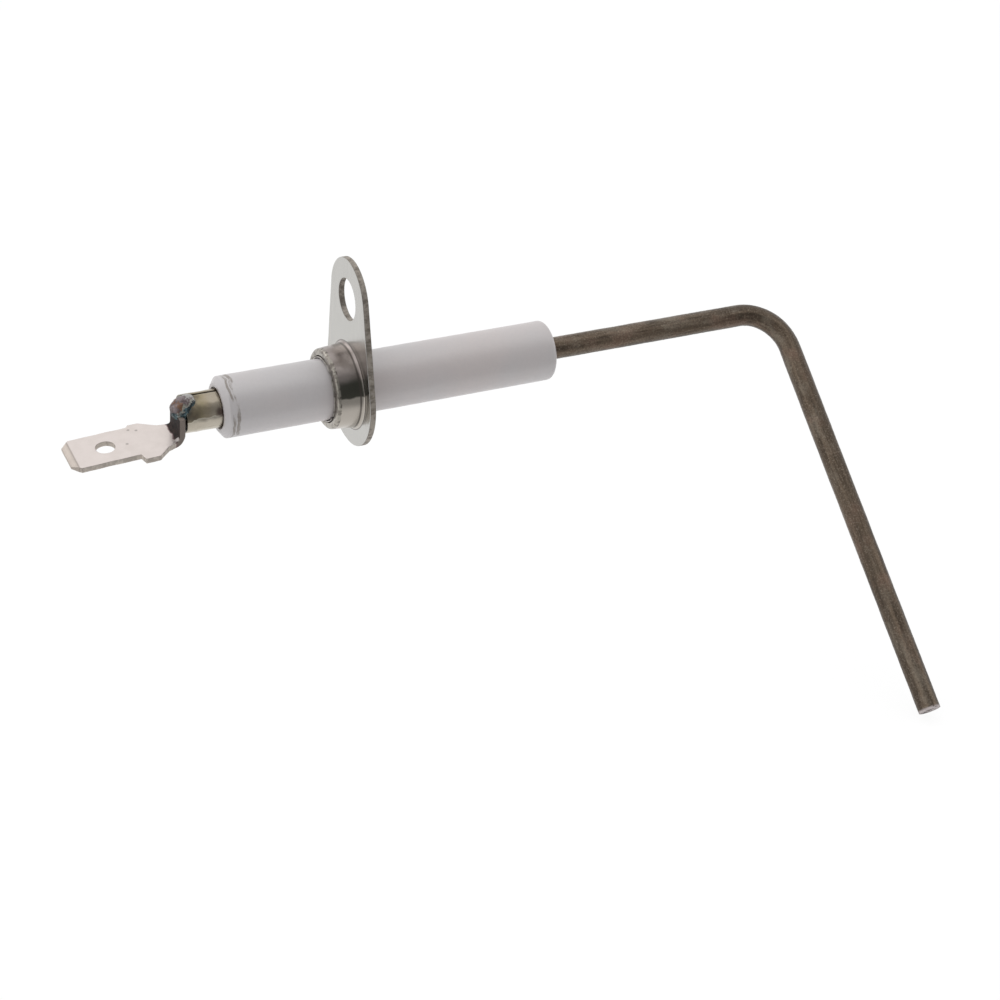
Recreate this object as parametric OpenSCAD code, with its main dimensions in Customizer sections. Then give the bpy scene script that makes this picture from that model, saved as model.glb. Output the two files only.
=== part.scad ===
// Ignition electrode for a boiler burner, in millimetres.
// X runs along the insulator, towards the spark end. Z runs towards the screw hole.
// The origin is where the insulator's axis meets the mounting face of the flange.

/* [Insulator] */
// Outside diameter of the ceramic tube
insulator_d = 8; // [7.5:0.1:12]
// Length of ceramic behind the mounting face, on the terminal side
insulator_rear = 18.6; // [12:0.1:40]
// Length of ceramic in front of the mounting face, on the spark side
insulator_front = 27.4; // [10:0.1:45]
// How far the bevel at the terminal end cuts into the radius
rear_bevel = 0.8; // [0.2:0.1:1.2]
// How long that bevel is along the tube
rear_bevel_len = 0.6; // [0.2:0.1:2]
// Radius that rounds the spark end
front_round = 0.5; // [0.3:0.1:1.8]

/* [Electrode rod] */
// Diameter of the rod
rod_d = 3; // [2:0.1:3.4]
// From the mounting face to the centre line of the bent leg
reach = 63.3; // [56:0.1:90]
// From the insulator's axis to the cut end of the leg
leg_len = 60; // [20:0.5:90]
// Radius of the bend, on the rod's centre line
bend_r = 6; // [4:0.1:10]
// Angle of the bend, in degrees
bend_angle = 90.4; // [60:0.1:120]
// How much thinner the rod is in the bend than in its straight runs
bend_thinning = 0.02; // [0.01:0.01:0.1]
// How far the leg is turned from straight down, in degrees
leg_turn = 48.4; // [-90:0.1:90]
// How far the rod's rear end stands out of the sleeve
rod_stub = 0.25; // [0:0.05:1]

/* [Terminal sleeve] */
// Outside diameter of the rolled sleeve
sleeve_d = 5; // [4.4:0.1:5.2]
// Length of sleeve that shows outside the insulator
sleeve_out = 4.6; // [2:0.1:10]
// Length of sleeve inside the insulator
sleeve_insert = 6; // [3:0.1:10]
// Width of the slit where the rolled sheet meets
sleeve_slit = 0.4; // [0.1:0.05:0.6]
// How far the slit is turned from the top, in degrees
slit_turn = 0; // [-180:1:180]

/* [Terminal tab] */
// Width of the push-on blade
tab_w = 6.3; // [4.8:0.1:6.5]
// Thickness of the sheet
tab_t = 0.8; // [0.5:0.1:1]
// Length of the blade, from its tip to the bend
tab_len = 13.35; // [12.6:0.05:20]
// Diameter of the hole that the push-on lead latches into
tab_hole_d = 2.4; // [1.2:0.1:3]
// From the blade's tip to the middle of that hole
tab_hole_inset = 5; // [3:0.1:6]
// Width of the blade's tip, between its cut corners
tip_w = 4.2; // [3:0.1:4.6]
// Length of the cut corners
tip_corner = 1.1; // [0.5:0.1:1.5]
// Length of the pressed bevel at the tip
tip_bevel_len = 0.85; // [0.3:0.05:1.2]
// Thickness that each side's bevel leaves off the tip
tip_bevel = 0.2; // [0.05:0.05:0.22]
// Width across the shoulders that stop the lead
shoulder_w = 7.8; // [6.8:0.1:9]
// From the blade's tip to where the shoulders start
shoulder_inset = 8.6; // [7.5:0.1:9]
// Length of the far shoulder's straight edge
shoulder_len = 1.3; // [0.5:0.1:1.5]
// How much longer the near shoulder's straight edge is
shoulder_extra = 0.6; // [0:0.1:0.8]
// How far the shoulders sit off the blade's centre line
shoulder_shift = 0.4; // [0:0.05:0.6]
// How far the blade's tip sits off the foot, across the blade
tip_shift = 0.25; // [0:0.05:0.6]
// Width of the neck, between the shoulders and the bend
neck_w = 5.1; // [3:0.1:5.5]
// How far the neck sits off the blade's centre line
neck_shift = 0.4; // [0:0.05:0.5]
// Width of the turned-up foot
foot_w = 3.9; // [2:0.1:4]
// How far the foot sits off the blade's centre line
foot_shift = -0.25; // [-0.5:0.05:0.5]
// Height of the foot above the blade's top face
foot_h = 3; // [2:0.1:4]
// Inner radius of the bend between blade and foot
tab_bend_r = 0.6; // [0.3:0.05:1]
// How far the blade's top face lies under the rod's axis
tab_drop = 2.2; // [1.5:0.1:3]
// How far the blade's tip droops, in degrees
tab_pitch = 2.7; // [0:0.1:8]
// How far the blade is rolled about the rod's axis, in degrees
tab_roll = 9; // [0:1:12]

/* [Weld] */
// Diameter of the main lump of the weld bead
bead_d = 2.9; // [2.6:0.1:3.8]

/* [Mounting bracket] */
// Thickness of the stamped plate
plate_t = 0.8; // [0.8:0.1:2]
// Radius of the plate's wide end
lobe_r = 7.42; // [7:0.01:10]
// How far the wide end's centre lies under the insulator's axis
lobe_drop = 0.68; // [0:0.01:1]
// Radius of the plate's narrow end, round the screw hole
screw_lobe_r = 5.4; // [4.5:0.1:6.5]
// From the insulator's axis to the screw hole
screw_offset = 11.8; // [11.5:0.1:20]
// How far the plate's straight sides are sunk inside the tangent of its round ends
side_sink = 0.02; // [0.01:0.01:0.2]
// Diameter of the screw hole
screw_hole_d = 5.5; // [3.2:0.1:6.6]
// Height of the drawn collar over the plate
collar_h = 3.5; // [3:0.1:8]
// Wall thickness of the collar at the plate
collar_wall = 1.2; // [1:0.05:1.5]
// How much thinner the wall is at the rim
collar_taper = 0.3; // [0:0.05:0.3]
// Radius that rounds the collar's crimped rim
rim_round = 0.4; // [0.2:0.05:0.65]
// Radius of the fillet where the collar leaves the plate
root_round = 0.4; // [0.2:0.05:0.8]
// Radius that the drawing leaves on the collar's mouth, at the mounting face
mouth_round = 0.6; // [0.2:0.05:0.7]

/* [Clamp liner] */
// Wall thickness of the liner between collar and insulator
liner_t = 0.3; // [0.2:0.05:0.5]
// How far the liner stands out of the collar's rim
liner_proud = 0.15; // [0:0.05:1]
// How far the liner's hidden end lies behind the mounting face
liner_inset = 0.8; // [0.7:0.1:2]

/* [Cement] */
// Thickness of the cement round the rod
rod_cement_t = 0.2; // [0.15:0.05:0.4]
// Thickness of the cement round the sleeve
sleeve_cement_t = 0.2; // [0.2:0.05:0.8]
// Length of the cement ring at the spark end
front_cement_len = 8; // [3:0.5:9]
// How far the cement is set back from the spark end
front_recess = 0.8; // [0.3:0.1:2]
// How far the cement is set back from the terminal end
rear_recess = 0.3; // [0.3:0.1:2]

/* [Fits] */
// Radial gap between the rod and the sleeve rolled onto it
rod_fit = 0.02; // [0.01:0.01:0.05]
// Radial gap on each side of the clamp liner
clamp_fit = 0.02; // [0.01:0.01:0.05]
// Radial gap between the cement and what it grips
cement_fit = 0.01; // [0.01:0.01:0.03]

/* [Hidden] */

// How far a cutter reaches past the face that it cuts
eps = 0.5;
// Segments in a small rounded corner
corner_steps = 8;

// Radii that follow from the fits
insulator_r = insulator_d / 2;
rod_bore_d = rod_d + 2 * (rod_cement_t + cement_fit * 2);
seat_bore_d = sleeve_d + 2 * (sleeve_cement_t + cement_fit * 2);
liner_in_d = insulator_d + 2 * clamp_fit;
liner_out_d = liner_in_d + 2 * liner_t;
collar_bore_d = liner_out_d + 2 * clamp_fit;
collar_r = collar_bore_d / 2 + collar_wall;
rim_r = collar_r - collar_taper;

// Places along X
rim_x = -plate_t - collar_h;
sleeve_x = -insulator_rear - sleeve_out;
seat_x = -insulator_rear + sleeve_insert;
rod_x = sleeve_x - rod_stub;
foot_x = rod_x - tab_t;
tab_bend_x = foot_x - tab_bend_r;
tab_tip_x = tab_bend_x - tab_len;

// Points on an arc, from angle a0 to a1, in n steps
function arc(x, y, r, a0, a1, n = corner_steps) =
    [for (i = [0:n]) let (a = a0 + (a1 - a0) * i / n) [x + r * cos(a), y + r * sin(a)]];

// Turns a shape built up the Z axis so that it runs along X
module along_x() {
    rotate([0, 90, 0]) children();
}

// Round bar on the X axis, from x0 to x1
module bar(d, x0, x1) {
    translate([x0, 0, 0]) along_x() cylinder(d = d, h = x1 - x0, $fn = 96);
}

// Tube on the X axis, from x0 to x1
module tube(d_out, d_in, x0, x1) {
    difference() {
        bar(d_out, x0, x1);
        bar(d_in, x0 - eps, x1 + eps);
    }
}

// ---- Insulator ----

// Half section of the ceramic: radius against place along the tube
insulator_profile = concat(
    [[0, -insulator_rear], [insulator_r - rear_bevel, -insulator_rear]],
    [[insulator_r, -insulator_rear + rear_bevel_len]],
    arc(insulator_r - front_round, insulator_front - front_round, front_round, 0, 90),
    [[0, insulator_front]]
);

module insulator() {
    color("#d9d3d6")
    difference() {
        along_x() rotate_extrude($fn = 96) polygon(insulator_profile);
        bar(rod_bore_d, -insulator_rear - eps, insulator_front + eps);
        bar(seat_bore_d, -insulator_rear - eps, seat_x);
    }
}

// ---- Electrode rod ----

// How far the leg leans back towards the terminal, and the length of its straight run
leg_lean = bend_angle - 90;
leg_straight = (leg_len - bend_r * (1 + sin(leg_lean))) / cos(leg_lean);

module electrode_rod() {
    color("#6a5f54")
    rotate([-leg_turn, 0, 0]) {
        bar(rod_d, rod_x, reach - bend_r);
        translate([reach - bend_r, 0, -bend_r]) rotate([0, leg_lean, 0]) {
            rotate([90, 0, 0]) rotate_extrude(angle = bend_angle, $fn = 128)
                translate([bend_r, 0]) circle(d = rod_d - bend_thinning, $fn = 96);
            translate([bend_r, 0, -leg_straight]) cylinder(d = rod_d, h = leg_straight, $fn = 96);
        }
    }
}

// ---- Terminal sleeve ----

module terminal_sleeve() {
    color("#cfc9b8")
    difference() {
        tube(sleeve_d, rod_d + 2 * rod_fit, sleeve_x, seat_x);
        rotate([-slit_turn, 0, 0])
            translate([sleeve_x - eps, -sleeve_slit / 2, 0])
                cube([sleeve_out + sleeve_insert + 2 * eps, sleeve_slit, sleeve_d]);
    }
}

// ---- Terminal tab ----

// Inner and outer corner of the blade where the bend starts, measured from the bend's centre
bend_in = [tab_bend_r * sin(tab_pitch), -tab_bend_r * cos(tab_pitch)];
bend_out = bend_in * (tab_bend_r + tab_t) / tab_bend_r;
// Direction from the bend to the blade's tip, and the direction out of its top face
blade_dir = [-cos(tab_pitch), -sin(tab_pitch)];
blade_up = [-sin(tab_pitch), cos(tab_pitch)];

// Side view of the tab, measured from the bend's centre: blade, bend and foot
tab_side = concat(
    [
        bend_in + blade_dir * (tab_len - tip_bevel_len),
        bend_in + blade_dir * tab_len - blade_up * tip_bevel,
        bend_out + blade_dir * tab_len + blade_up * tip_bevel,
        bend_out + blade_dir * (tab_len - tip_bevel_len)
    ],
    arc(0, 0, tab_bend_r + tab_t, tab_pitch - 90, 0),
    [[tab_bend_r + tab_t, foot_h - tab_bend_r], [tab_bend_r, foot_h - tab_bend_r]],
    arc(0, 0, tab_bend_r, 0, tab_pitch - 90)
);

// Half widths of the shoulders on the two sides of the blade
shoulder_near = -shoulder_w / 2 - shoulder_shift;
shoulder_far = shoulder_w / 2 - shoulder_shift;
// Length of the slope that leads up to the shoulders, and of the neck before the bend
shoulder_ramp = 0.3;
neck_len = 1;

// Where the blade's centre line lies across the tab, at a distance from the tip
function blade_y(x) = -tip_shift * max(0, 1 - x / tab_len);

// The straight blade from above: distance from the tip, and place across
straight_plan = [
    [-eps, -tip_w / 2 + eps * (tab_w - tip_w) / 2 / tip_corner],
    [tip_corner, -tab_w / 2],
    [shoulder_inset, -tab_w / 2],
    [shoulder_inset + shoulder_ramp, shoulder_near],
    [shoulder_inset + shoulder_ramp + shoulder_len + shoulder_extra, shoulder_near],
    [tab_len - neck_len, -neck_w / 2 - neck_shift],
    [tab_len + tab_bend_r, foot_shift - foot_w / 2],
    [tab_len + tab_bend_r + tab_t + eps, foot_shift - foot_w / 2],
    [tab_len + tab_bend_r + tab_t + eps, foot_shift + foot_w / 2],
    [tab_len + tab_bend_r, foot_shift + foot_w / 2],
    [tab_len - neck_len, neck_w / 2 - neck_shift],
    [shoulder_inset + shoulder_ramp + shoulder_len, shoulder_far],
    [shoulder_inset + shoulder_ramp, shoulder_far],
    [shoulder_inset, tab_w / 2],
    [tip_corner, tab_w / 2],
    [-eps, tip_w / 2 - eps * (tab_w - tip_w) / 2 / tip_corner]
];
tab_plan = [for (p = straight_plan) [p.x, p.y + blade_y(p.x)]];

module tab_shape() {
    translate([0, 0, -tab_drop]) rotate([tab_roll, 0, 0])
    difference() {
        intersection() {
            translate([tab_bend_x, shoulder_w, tab_bend_r]) rotate([90, 0, 0])
                linear_extrude(2 * shoulder_w) polygon(tab_side);
            translate([tab_tip_x, 0, -tab_len / 2]) linear_extrude(tab_len) polygon(tab_plan);
        }
        translate([tab_bend_x, 0, tab_bend_r]) rotate([0, -tab_pitch, 0])
            translate([tab_hole_inset - tab_len, blade_y(tab_hole_inset), -tab_bend_r - tab_t - eps])
                cylinder(d = tab_hole_d, h = tab_t + 2 * eps, $fn = 64);
    }
}

module terminal_tab() {
    color("#e6dcd6") tab_shape();
}

// ---- Weld bead ----

// The bead's lumps: each is a centre, measured from the middle of the sleeve's end, and a diameter
bead_lumps = [
    [[0, -0.8, 1.25], bead_d],
    [[0.6, -0.7, 1.75], bead_d * 0.8],
    [[-0.45, -0.5, 1.1], bead_d * 0.78],
    [[-0.35, -0.9, 0.65], bead_d * 0.75]
];

module weld_bead() {
    color("#5d6468")
    difference() {
        for (lump = bead_lumps)
            translate([sleeve_x, 0, 0] + lump[0]) sphere(d = lump[1], $fn = 48);
        bar(sleeve_d, sleeve_x, seat_x);
        bar(rod_d, rod_x, seat_x);
        tab_shape();
    }
}

// ---- Mounting bracket ----

// Slope of the plate's straight sides, and the points where they meet its two round ends
side_slope = asin((lobe_r - screw_lobe_r) / (screw_offset + lobe_drop));
side_dir = [cos(side_slope), sin(side_slope)];
wide_corner = side_dir * (lobe_r - side_sink) - [0, lobe_drop];
narrow_corner = side_dir * (screw_lobe_r - side_sink) + [0, screw_offset];

module plate_outline() {
    translate([0, -lobe_drop]) circle(r = lobe_r, $fn = 128);
    translate([0, screw_offset]) circle(r = screw_lobe_r, $fn = 128);
    polygon([
        wide_corner, narrow_corner,
        [-narrow_corner.x, narrow_corner.y], [-wide_corner.x, wide_corner.y]
    ]);
}

// Half section of the collar: radius against place along X, with its fillet and its rounded rim
collar_profile = concat(
    [[0, -plate_t / 2], [collar_r + root_round, -plate_t / 2]],
    arc(collar_r + root_round, -plate_t - root_round, root_round, 90, 180),
    arc(rim_r - rim_round, rim_x + rim_round, rim_round, 0, -90),
    [[0, rim_x]]
);

// Half section of the hole through the collar, with the rounded mouth at the mounting face
mouth_profile = concat(
    [[0, rim_x - eps], [collar_bore_d / 2, rim_x - eps]],
    arc(collar_bore_d / 2 + mouth_round, -mouth_round, mouth_round, 180, 90),
    [[collar_bore_d / 2 + mouth_round, eps], [0, eps]]
);

module mounting_bracket() {
    color("#b9b6b0")
    difference() {
        union() {
            translate([-plate_t, 0, 0]) rotate([90, 0, 90])
                linear_extrude(plate_t) plate_outline();
            along_x() rotate_extrude($fn = 96) polygon(collar_profile);
        }
        along_x() rotate_extrude($fn = 96) polygon(mouth_profile);
        translate([0, 0, screw_offset]) bar(screw_hole_d, -plate_t - eps, eps);
    }
}

// ---- Clamp liner and cement ----

module clamp_liner() {
    color("#8d8a84") tube(liner_out_d, liner_in_d, rim_x - liner_proud, -liner_inset);
}

module front_cement() {
    color("#a9a49a")
    tube(
        rod_bore_d - 2 * cement_fit, rod_d + 2 * cement_fit,
        insulator_front - front_recess - front_cement_len, insulator_front - front_recess
    );
}

module rear_cement() {
    color("#a9a49a")
    tube(
        seat_bore_d - 2 * cement_fit, sleeve_d + 2 * cement_fit,
        -insulator_rear + rear_recess, seat_x
    );
}

insulator();
electrode_rod();
terminal_sleeve();
terminal_tab();
weld_bead();
mounting_bracket();
clamp_liner();
front_cement();
rear_cement();
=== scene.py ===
"""Looks of the boiler ignition electrode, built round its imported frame.

Each sub-assembly is a class that works its surfaces out with numpy, as functions of two parameters,
and dresses them in a finish. Sizes are in millimetres in the row frame until a mesh is made.
"""

import logging
import math
from dataclasses import dataclass, field
from enum import Enum
from typing import Dict, List, Optional, Sequence, Tuple, Union

import bmesh
import bpy
import numpy as np
from mathutils import Matrix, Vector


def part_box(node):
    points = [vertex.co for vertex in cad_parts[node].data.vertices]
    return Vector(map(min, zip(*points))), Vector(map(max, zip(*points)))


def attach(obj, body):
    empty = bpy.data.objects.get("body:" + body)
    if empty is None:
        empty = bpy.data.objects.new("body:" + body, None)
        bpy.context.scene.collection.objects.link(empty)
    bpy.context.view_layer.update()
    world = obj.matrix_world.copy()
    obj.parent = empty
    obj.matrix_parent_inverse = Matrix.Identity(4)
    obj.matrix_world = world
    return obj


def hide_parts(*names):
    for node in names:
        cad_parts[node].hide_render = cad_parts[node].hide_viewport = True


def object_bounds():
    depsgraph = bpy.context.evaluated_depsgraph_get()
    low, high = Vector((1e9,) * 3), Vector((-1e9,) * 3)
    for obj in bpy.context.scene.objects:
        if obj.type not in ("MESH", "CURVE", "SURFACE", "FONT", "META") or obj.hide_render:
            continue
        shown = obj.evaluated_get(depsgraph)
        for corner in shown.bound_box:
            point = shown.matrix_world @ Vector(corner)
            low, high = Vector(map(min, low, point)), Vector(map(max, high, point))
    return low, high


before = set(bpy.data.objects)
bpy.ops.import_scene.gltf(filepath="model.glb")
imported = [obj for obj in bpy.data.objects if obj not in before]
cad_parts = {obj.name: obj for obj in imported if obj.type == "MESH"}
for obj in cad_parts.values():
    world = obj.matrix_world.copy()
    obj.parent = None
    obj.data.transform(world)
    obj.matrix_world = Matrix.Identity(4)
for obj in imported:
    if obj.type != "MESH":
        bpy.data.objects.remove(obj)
CAD_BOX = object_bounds()

MM = 0.001
BODY = "root"
WELD_MM = 2e-4
SHARP_DEGREES = 50.0

Array = np.ndarray
Colour = Tuple[float, float, float]
Place = Tuple[float, float, float]
Band = Tuple[float, float]
Stops = Tuple[Tuple[float, Colour], ...]
LOG = logging.getLogger("ignition_electrode")

ALONG_X = np.array([1.0, 0.0, 0.0])
OFF_X = np.array([0.0, 1.0, 1.0])


def node_box(name: str) -> Tuple[Array, Array]:
    """Lowest and highest corner of a CAD node, in millimetres."""
    low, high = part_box(name)
    return np.array(low) / MM, np.array(high) / MM


# ---- Surfaces ----


def unit(v: Array) -> Array:
    """The vector v at length one."""
    return v / np.linalg.norm(v)


def smoothstep(low: float, high: float, value: Array) -> Array:
    """Rises from 0 at low to 1 at high as 3t^2 - 2t^3, where t is the share of the way."""
    t = np.clip((value - low) / (high - low), 0.0, 1.0)
    return t * t * (3.0 - 2.0 * t)


def rounded(corners: Sequence[Tuple[float, float]], radii: Sequence[float], step: float,
            arc_steps: int = 6) -> Array:
    """A polyline with its inner corners rounded by arcs and its long runs divided.

    At a corner with half angle h between its two sides, the arc's centre lies radius / sin(h) along
    the bisector, and the arc turns from one tangent point to the other by spherical interpolation.

    Args:
        corners: the polyline's points, in the plane of the profile.
        radii: one radius for each corner between the first and the last.
        step: longest run that stays undivided.
        arc_steps: runs in each arc.

    Returns:
        The points, one row each.
    """
    c = np.asarray(corners, float)
    chain = [c[:1]]
    share = np.linspace(0.0, 1.0, arc_steps + 1)[:, None]
    for i, radius in enumerate(radii, start=1):
        back, ahead = unit(c[i - 1] - c[i]), unit(c[i + 1] - c[i])
        half = 0.5 * math.acos(float(np.clip(back @ ahead, -1.0, 1.0)))
        if radius <= 0.0 or half > 0.499 * math.pi:
            chain.append(c[i:i + 1])
            continue
        centre = c[i] + unit(back + ahead) * radius / math.sin(half)
        start = c[i] + back * radius / math.tan(half) - centre
        end = c[i] + ahead * radius / math.tan(half) - centre
        turn = math.pi - 2.0 * half
        arc = (np.sin((1.0 - share) * turn) * start + np.sin(share * turn) * end) / math.sin(turn)
        chain.append(centre + arc)
    chain.append(c[-1:])
    points = np.vstack(chain)
    run = np.linalg.norm(np.diff(points, axis=0), axis=1)
    points = points[np.concatenate([[True], run > 1e-9])]
    run = np.linalg.norm(np.diff(points, axis=0), axis=1)
    parts = np.maximum(1, np.ceil(run / step)).astype(int)
    where = np.concatenate([np.arange(k) / k + i for i, k in enumerate(parts)] + [[len(run)]])
    index = np.arange(len(points))
    return np.stack([np.interp(where, index, points[:, k]) for k in range(2)], axis=1)


def ripple(points: Array, wavelength: float, seed: int, waves: int = 14) -> Array:
    """A smooth random field of about unit size: the mean of plane waves in random directions.

    Args:
        points: positions, with the three coordinates last.
        wavelength: middle wavelength of the waves.
        seed: seed of the random directions and phases.
        waves: how many waves are added.

    Returns:
        The field's value at each point.
    """
    rng = np.random.default_rng(seed)
    way = rng.normal(size=(waves, 3))
    way *= (rng.uniform(0.6, 1.6, waves) * 2.0 * math.pi / wavelength
            / np.linalg.norm(way, axis=1))[:, None]
    phase = rng.uniform(0.0, 2.0 * math.pi, waves)
    return np.sin(points @ way.T + phase).sum(axis=-1) * math.sqrt(2.0 / waves)


def revolve(profile: Array, angles: Array) -> Array:
    """A surface of revolution about X: place (x, r) at angle a goes to (x, r sin a, r cos a).

    Args:
        profile: points (x, r).
        angles: the angles, from +Z towards +Y.

    Returns:
        Points, profile by angle by three.
    """
    x, r = profile[:, :1], profile[:, 1:2]
    return np.stack([x + 0.0 * angles, r * np.sin(angles), r * np.cos(angles)], axis=-1)


def ring_angles(count: int) -> Array:
    """Evenly spaced angles round a full turn, without the last that would repeat the first."""
    return np.arange(count) * 2.0 * math.pi / count


def spokes(angles: Array) -> Array:
    """Unit vectors (y, z) at angles from +Z towards +Y: the sine and the cosine."""
    return np.stack([np.sin(angles), np.cos(angles)], axis=-1)


def radial(points: Array) -> Array:
    """Unit vectors from the X axis towards the points."""
    way = points * OFF_X
    return way / np.linalg.norm(way, axis=-1, keepdims=True)


def edge_drop(distance: Array, radius: float) -> Array:
    """How far a quarter round draws a surface in, at a distance from the surface's end.

    It is radius (1 - sqrt(1 - (1 - t)^2)), where t is distance / radius, held between 0 and 1.
    """
    t = np.clip(distance / radius, 0.0, 1.0)
    return radius * (1.0 - np.sqrt(np.clip(1.0 - (1.0 - t) ** 2, 0.0, 1.0)))


def sheet_edge(thickness: float, first_round: float, last_round: float, arc_points: int,
               flat_points: int) -> Tuple[Array, Array]:
    """Section of a sheet's edge, from its first face to its last: a round, a flat and a round.

    A round of radius r at angle a draws the edge in by r (1 - sin a) at depth r (1 - cos a).

    Args:
        thickness: the sheet's thickness.
        first_round: radius at the first face.
        last_round: radius at the last face.
        arc_points: points in each round.
        flat_points: points between the rounds.

    Returns:
        How far each point is drawn in, and its depth under the first face.
    """
    turn = np.linspace(0.0, 0.5 * math.pi, arc_points)
    inset = np.concatenate([first_round * (1.0 - np.sin(turn)), np.zeros(flat_points),
                            last_round * (1.0 - np.cos(turn))])
    flat = np.linspace(first_round, thickness - last_round, flat_points + 2)[1:-1]
    depth = np.concatenate([first_round * (1.0 - np.cos(turn)), flat,
                            thickness - last_round * (1.0 - np.sin(turn))])
    return inset, depth


def ring_section(ends: Band, sides: Band, radii: Sequence[float], step: float,
                 arc_steps: int) -> Array:
    """Closed half section of a plain ring, from the middle of its first end right round.

    Args:
        ends: places of the first and the last end on X.
        sides: radii of the side that is met first and of the other.
        radii: the four corners' rounding.
        step: longest run that stays undivided.
        arc_steps: runs in each arc.

    Returns:
        Points (x, r).
    """
    (first, last), (near, far) = ends, sides
    middle = (first, 0.5 * (near + far))
    corners = [middle, (first, near), (last, near), (last, far), (first, far), middle]
    return rounded(corners, radii, step, arc_steps)


class Shell:
    """Grids of points, in millimetres, that are welded into one closed mesh."""

    def __init__(self, fields: Sequence[str] = ()) -> None:
        """Starts an empty shell whose vertices carry the named attributes."""
        self.points: List[Array] = []
        self.faces: List[Array] = []
        self.fields: Dict[str, List[Array]] = {name: [] for name in fields}
        self.count = 0

    def add(self, grid: Array, close_columns: bool = False,
            **values: Union[float, Array]) -> None:
        """Adds a grid of points and the quads between neighbours.

        Args:
            grid: rows by columns by three.
            close_columns: joins the last column to the first.
            values: each attribute's value, one number or one array for the grid.
        """
        rows, columns = grid.shape[:2]
        index = self.count + np.arange(rows * columns).reshape(rows, columns)
        if close_columns:
            index = np.concatenate([index, index[:, :1]], axis=1)
        quads = np.stack([index[:-1, :-1], index[1:, :-1], index[1:, 1:], index[:-1, 1:]], axis=-1)
        self.points.append(grid.reshape(-1, 3))
        self.faces.append(quads.reshape(-1, 4))
        for name, stored in self.fields.items():
            value = np.asarray(values.get(name, 0.0), float)
            wide = np.broadcast_to(value if value.ndim >= 2 else value.reshape(1, 1),
                                   (rows, columns) + value.shape[2:])
            stored.append(wide.reshape((rows * columns,) + value.shape[2:]))
        self.count += rows * columns

    def build(self, name: str) -> bpy.types.Object:
        """Makes the mesh object: welds what coincides, turns faces outwards and shades it smooth.

        Args:
            name: the piece's name.

        Returns:
            The new object, at the origin, unturned and unscaled.
        """
        mesh = bpy.data.meshes.new(name)
        mesh.from_pydata((np.vstack(self.points) * MM).tolist(), [], np.vstack(self.faces).tolist())
        for key, stored in self.fields.items():
            value = np.concatenate(stored)
            kind, slot = ("FLOAT", "value") if value.ndim == 1 else ("FLOAT_VECTOR", "vector")
            mesh.attributes.new(key, kind, "POINT").data.foreach_set(
                slot, value.astype(np.float32).ravel())
        work = bmesh.new()
        work.from_mesh(mesh)
        bmesh.ops.remove_doubles(work, verts=work.verts, dist=WELD_MM * MM)
        bmesh.ops.dissolve_degenerate(work, edges=work.edges, dist=1e-9)
        bmesh.ops.recalc_face_normals(work, faces=work.faces)
        loose = sum(1 for edge in work.edges if len(edge.link_faces) != 2)
        work.to_mesh(mesh)
        work.free()
        mesh.shade_smooth()
        mesh.set_sharp_from_angle(angle=math.radians(SHARP_DEGREES))
        piece = bpy.data.objects.new(name, mesh)
        bpy.context.scene.collection.objects.link(piece)
        LOG.info("%s: %d vertices, %d faces, %d open edges", name, len(mesh.vertices),
                 len(mesh.polygons), loose)
        return piece


def closed_mesh(name: str, grid: Array, **values: Array) -> bpy.types.Object:
    """One grid whose columns close round, as a piece that carries the values as attributes."""
    shell = Shell(list(values))
    shell.add(grid, close_columns=True, **values)
    return shell.build(name)


# ---- Shader maths ----

Operand = Union["Num", float]


class Num:
    """A number that a material works out at each point. Python operators add its Math nodes."""

    def __init__(self, paint: "Paint", link: bpy.types.NodeSocket) -> None:
        """Wraps a node's output."""
        self.paint = paint
        self.link = link

    def _math(self, operation: str, first: Operand, second: Operand) -> "Num":
        """One Math node on two operands."""
        made = self.paint.node("ShaderNodeMath", {"operation": operation}, {0: first, 1: second})
        return Num(self.paint, made.outputs[0])

    def __add__(self, other: Operand) -> "Num":
        """self + other."""
        return self._math("ADD", self, other)

    __radd__ = __add__

    def __sub__(self, other: Operand) -> "Num":
        """self - other."""
        return self._math("SUBTRACT", self, other)

    def __rsub__(self, other: Operand) -> "Num":
        """other - self."""
        return self._math("SUBTRACT", other, self)

    def __mul__(self, other: Operand) -> "Num":
        """self * other."""
        return self._math("MULTIPLY", self, other)

    __rmul__ = __mul__

    def __truediv__(self, other: Operand) -> "Num":
        """self / other."""
        return self._math("DIVIDE", self, other)

    def __pow__(self, other: Operand) -> "Num":
        """self to the power other."""
        return self._math("POWER", self, other)

    def larger(self, other: Operand) -> "Num":
        """The larger of the two."""
        return self._math("MAXIMUM", self, other)

    def between(self, rise: Band, fall: Band) -> "Num":
        """1 between two soft edges and 0 outside them."""
        return self.step(*rise) * self.step(*fall)

    def step(self, low: float, high: float) -> "Num":
        """Goes smoothly from 0 at low to 1 at high.

        Args:
            low: the value that gives 0. It may be above high, and the step then falls.
            high: the value that gives 1.

        Returns:
            The step.
        """
        rising = low < high
        made = self.paint.node(
            "ShaderNodeMapRange", {"interpolation_type": "SMOOTHSTEP", "clamp": True},
            {"Value": self, "From Min": min(low, high), "From Max": max(low, high),
             "To Min": 0.0 if rising else 1.0, "To Max": 1.0 if rising else 0.0})
        return Num(self.paint, made.outputs[0])


Value = Union[Num, float, Sequence[float], bpy.types.NodeSocket]


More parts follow.
